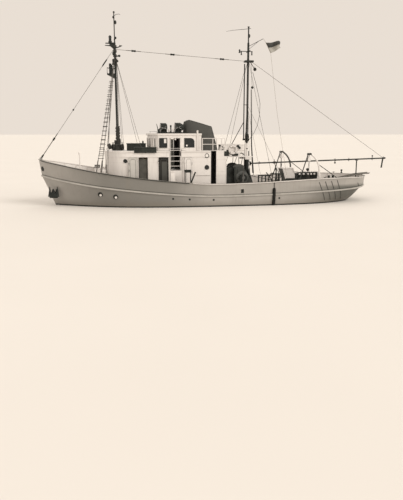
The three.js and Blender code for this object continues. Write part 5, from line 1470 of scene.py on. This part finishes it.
def companion_detail():
    """The lid and the edges of the companion, and the beads of its sloping door."""
    shape, dark = Shape("companion_trim", "trim"), Shape("companion_door_trim", "varnish")
    shape.prism(((-5.29, 1.99), (-5.29, 2.02), (-4.56, 1.965), (-4.56, 1.995)), (-0.45, 0.45))
    shape.prism(((-5.22, 2.01), (-5.2, 2.05), (-4.64, 1.99), (-4.66, 2.025)), (-0.3, 0.3))
    for y in (-0.43, 0.43):
        shape.bar((-5.23, y, 1.99), (-5.54, y, 1.36), 0.05, 0.03, ACROSS)
        shape.bar((-4.78, y, 1.36), (-4.6, y, 1.97), 0.05, 0.03, ACROSS)

    def slope(z):
        """How far aft the sloping face lies at a height."""
        return -5.256 - 0.31 * (2.005 - z) / 0.655

    for y in (0.2, -0.28):
        dark.bar((slope(1.95), y, 1.95), (slope(1.4), y, 1.4), 0.03, 0.02, ACROSS)
    for z in (1.42, 1.68, 1.93):
        dark.bar((slope(z), -0.28, z), (slope(z), 0.2, z), 0.02, 0.02)


def hatch_detail():
    """Boards, battens and lifting rings on the lid, and a bead round the coaming."""
    lid, side = Shape("hatch_boards", "bare_wood", "fish_hatch_lid"), Shape("hatch_bead", "black")
    for y in (-0.4, -0.2, 0, 0.2, 0.4):
        lid.post(-3.93, y, 1.1303, 1.142, (0.57, 0.09))
    for x in (-4.3, -3.56):
        lid.post(x, 0, 1.142, 1.154, (0.025, 0.53))
        lid.ring((x, 0.42, 1.16), ACROSS, 0.035, 0.008, 14)
    side.twin([(-4.48, 0.51, 0.98), (-3.38, 0.51, 0.98)], 0.014)
    for x in (-4.49, -3.37):
        side.tube([(x, -0.5, 0.98), (x, 0.5, 0.98)], 0.014)


def pound_detail(name, sign):
    shape = Shape(f"pound_post_caps_{name}", "black" if sign > 0 else "trim", slot="black_paint")
    high, low = (1.81, 1.72) if sign > 0 else (1.45, 1.43)
    for k in range(8):
        x, y = -4.11 + 0.2114 * k, sign * 1.9
        top = high if x < -3.43 else low
        shape.slab((x - 0.035, y - 0.035, top - 0.004), (x + 0.035, y + 0.035, top + 0.012))


def anchor_chain():
    """Links that alternate upright and flat, from the windlass down to the deck."""
    chain = Shape("anchor_chain", "steel", slot="wire")
    start, end = Vector((7.86, 0.1, 1.74)), Vector((8.86, 0.27, 1.66))
    path = [start.lerp(end, t) for t in shares(22)]
    for p, t in zip(path, shares(22)):
        p.z = max(deck_at(p.x) + 0.035, start.z - 0.35 * sin(pi * min(t * 1.4, 1) * 0.5))
    for i, (a, b) in enumerate(zip(path, path[1:])):
        along = (b - a).normalized()
        side = along.cross(Vector(UP)).normalized()
        wide = side if i % 2 else side.cross(along)
        link = [(a + b) / 2 + along * 0.038 * cos(q) + wide * 0.02 * sin(q) for q in turns(10)]
        chain.tube(link, 0.008, 5, closed=True)


def bow_gear():
    """The bow roller, the windlass rims, two vents and a davit."""
    dark, white = Shape("bow_roller", "steel", slot="wire"), Shape("foredeck_vents_and_davit", "trim")
    dark.turned([(-0.13, 0.06), (-0.11, 0.035), (0.11, 0.035), (0.13, 0.06)], (9.86, 0, 2.7), ACROSS, 14)
    for y in (-0.14, 0.14):
        dark.post(9.865, y, 2.63, 2.74, (0.065, 0.01))
    rims = [(-0.34, 0.19), (-0.3, 0.2), (-0.28, 0.17), (0.28, 0.17), (0.3, 0.2), (0.34, 0.19)]
    dark.turned(rims, (7.7, 0, 1.76), ACROSS, 26)
    davit = [(7.62, 1.55, deck_at(7.62)), (7.62, 1.55, 2.85), (7.64, 1.6, 3.02), (7.67, 1.73, 3.08)]
    white.tube(davit, 0.03, 10)
    mouths = Shape("vent_mouths", "black")
    for y in (0.95, -0.95):
        foot = Vector((6.22, y, deck_at(6.22, y)))
        places = ((0, 0), (0, 0.4275), (0.02, 0.627), (0.1, 0.76), (0.21, 0.817))
        bend = [foot + Vector((x, 0, z)) for x, z in places]
        white.tube(bend, [0.12, 0.12, 0.15, 0.18, 0.19], 18)
        # A black disc fills each cowl's mouth: painted shade inside the vent.
        mouths.turned([(0, 0.15), (0.006, 0.14)], bend[-1] + Vector((0.001, 0, 0)), ALONG)
        white.slab((6.52, y - 0.17, deck_at(6.68, y) - 0.01), (6.83, y + 0.17, 2.21), 0.02)
        mouths.slab((6.5, y - 0.19, 2.21), (6.85, y + 0.19, 2.245), 0.01)


def anchor_palm():
    """The palm between the flukes, rising from the crown."""
    shape = Shape("anchor_palm", "black")
    heel, toe = Vector((9.02, 0.79, 0.54)), Vector((9.39, 0.66, 0.54))
    out = (toe - heel).cross(Vector(UP)).normalized() * -1
    points = []
    for far, height, thick in ((0, -0.02, 0.075), (1, -0.02, 0.075), (0.82, 0.22, 0.055), (0.5, 0.46, 0.03),
                               (0.18, 0.22, 0.055)):
        middle = heel.lerp(toe, far) + up(height)
        points += [middle + out * thick, middle - out * thick]
    shape.solid(points)
    for end in (0, 2):
        shape.tube([points[end], points[6]], 0.022)


def bilge_keels():
    """A fin along each bilge, below the water."""
    shape = Shape("bilge_keels", "hull", slot="hull_paint")
    for _, sign in SIDES:
        rings = []
        for t in shares(14):
            hit, normal = from_side(HULL, -3.2 + 6.4 * t, -1.15, sign)
            out = (normal - up(0.35)).normalized()
            root, tip = hit - out * 0.02, hit + out * 0.16
            rings.append([root + up(0.012), tip + up(0.006), tip - up(0.006), root - up(0.012)])
        shape.skin(rings)


def casing_detail():
    """Beads of the casing's panels, a ladder on its after wall, and dark vents; the louvres in the neck are
    black as painted shade of the passage.
    """
    shape, dark = Shape("casing_trim", "trim"), Shape("casing_vents", "black")
    for _, sign in SIDES:
        wall, bead, inner = sign * 1.7, sign * 1.704, sign * 0.612
        for z0, z1 in ((1.0, 1.75), (1.95, 2.65)):
            for a, b in edges([(-0.7, bead, z0), (-0.18, bead, z0), (-0.18, bead, z1), (-0.7, bead, z1)]):
                shape.tube([a, b], 0.009, 6)
        dark.slab((-0.74, wall, 2.83), (-0.6, wall + sign * 0.02, 3.1))
        # Louvre bars in the neck, black as painted shade of the passage.
        for k in range(9):
            dark.bar((0.03, inner, 0.95 + 0.22 * k), (0.03, inner, 1.05 + 0.22 * k), 0.24, 0.016, ACROSS)
    for y in (0.9, 1.2):
        shape.tube([(-0.745, y, 1.0), (-0.745, y, 3.3)], 0.016)
    for k in range(7):
        shape.tube([(-0.79, 0.9, 1.2 + 0.3 * k), (-0.79, 1.2, 1.2 + 0.3 * k)], 0.011, 6)


def make_stage():
    reach, mesh = VIEW_REACH / 2, bpy.data.meshes.new("floor")
    corners = [(-reach, -reach, 0), (reach, -reach, 0), (reach, reach, 0), (-reach, reach, 0)]
    mesh.from_pydata(corners, [], [(0, 1, 2, 3)])
    f = Finish("floor_paper", 0.95)
    mesh.materials.append(f.clouded((0.15, 2), (0.3, 0.7), (0.7, 0.675, 0.64), (0.715, 0.69, 0.655)))
    placed("floor", mesh)


SUNS = (
    # name, strength, spread in degrees, where it stands
    ("key", 1.8, 30, (-0.75, 0.7, 0.7)),
    ("fill", 0.6, 60, (0.8, 0.6, 0.5)),
    ("back", 0.5, 60, (-0.2, -0.9, 0.8)),
)


def make_lights():
    """A bright room and three soft suns."""
    world = bpy.data.worlds.new("studio")
    world.use_nodes = True
    backdrop = world.node_tree.nodes["Background"]
    backdrop.inputs["Color"].default_value = (0.86, 0.775, 0.69, 1)
    backdrop.inputs["Strength"].default_value = 0.95
    bpy.context.scene.world = world
    for name, strength, spread, direction in SUNS:
        data = bpy.data.lights.new(name, "SUN")
        data.energy, data.angle, data.color = strength, radians(spread), (1.0, 0.95, 0.88)
        placed(name, data).rotation_euler = Vector(direction).to_track_quat("Z", "Y").to_euler()
    bpy.context.scene.view_settings.view_transform = "Standard"


make_camera()
dress_nodes()
for side_name, side_sign in SIDES:
    for dress in (bulwark_brackets, hull_fittings, chafing_gear, freeing_port, rail_gear, house_ports,
                  doorways, door_detail, hang_curtains, gallows_detail, net_heap, pound_detail, rig_shrouds):
        dress(side_name, side_sign)
for dress in (deck_planks, wheelhouse_windows, wheelhouse_trim, grab_rails, searchlight_detail, lamp_plinth,
              compass_and_gear, funnel_detail, locker_detail, house_gutters, foremast_gear, foremast_ropes,
              pin_rail, running_rigging, mainmast_gear, make_flag, boom_gear, winch_drums, winch_fittings,
              winch_brakes, gallery_detail, casing_detail, float_rack, after_deck_gear, stern_spars,
              side_deck_gear, companion_detail, hatch_detail, anchor_chain, bow_gear, anchor_palm,
              bilge_keels):
    dress()
for shape in list(Shape.waiting):
    shape.made()
make_stage()
make_lights()
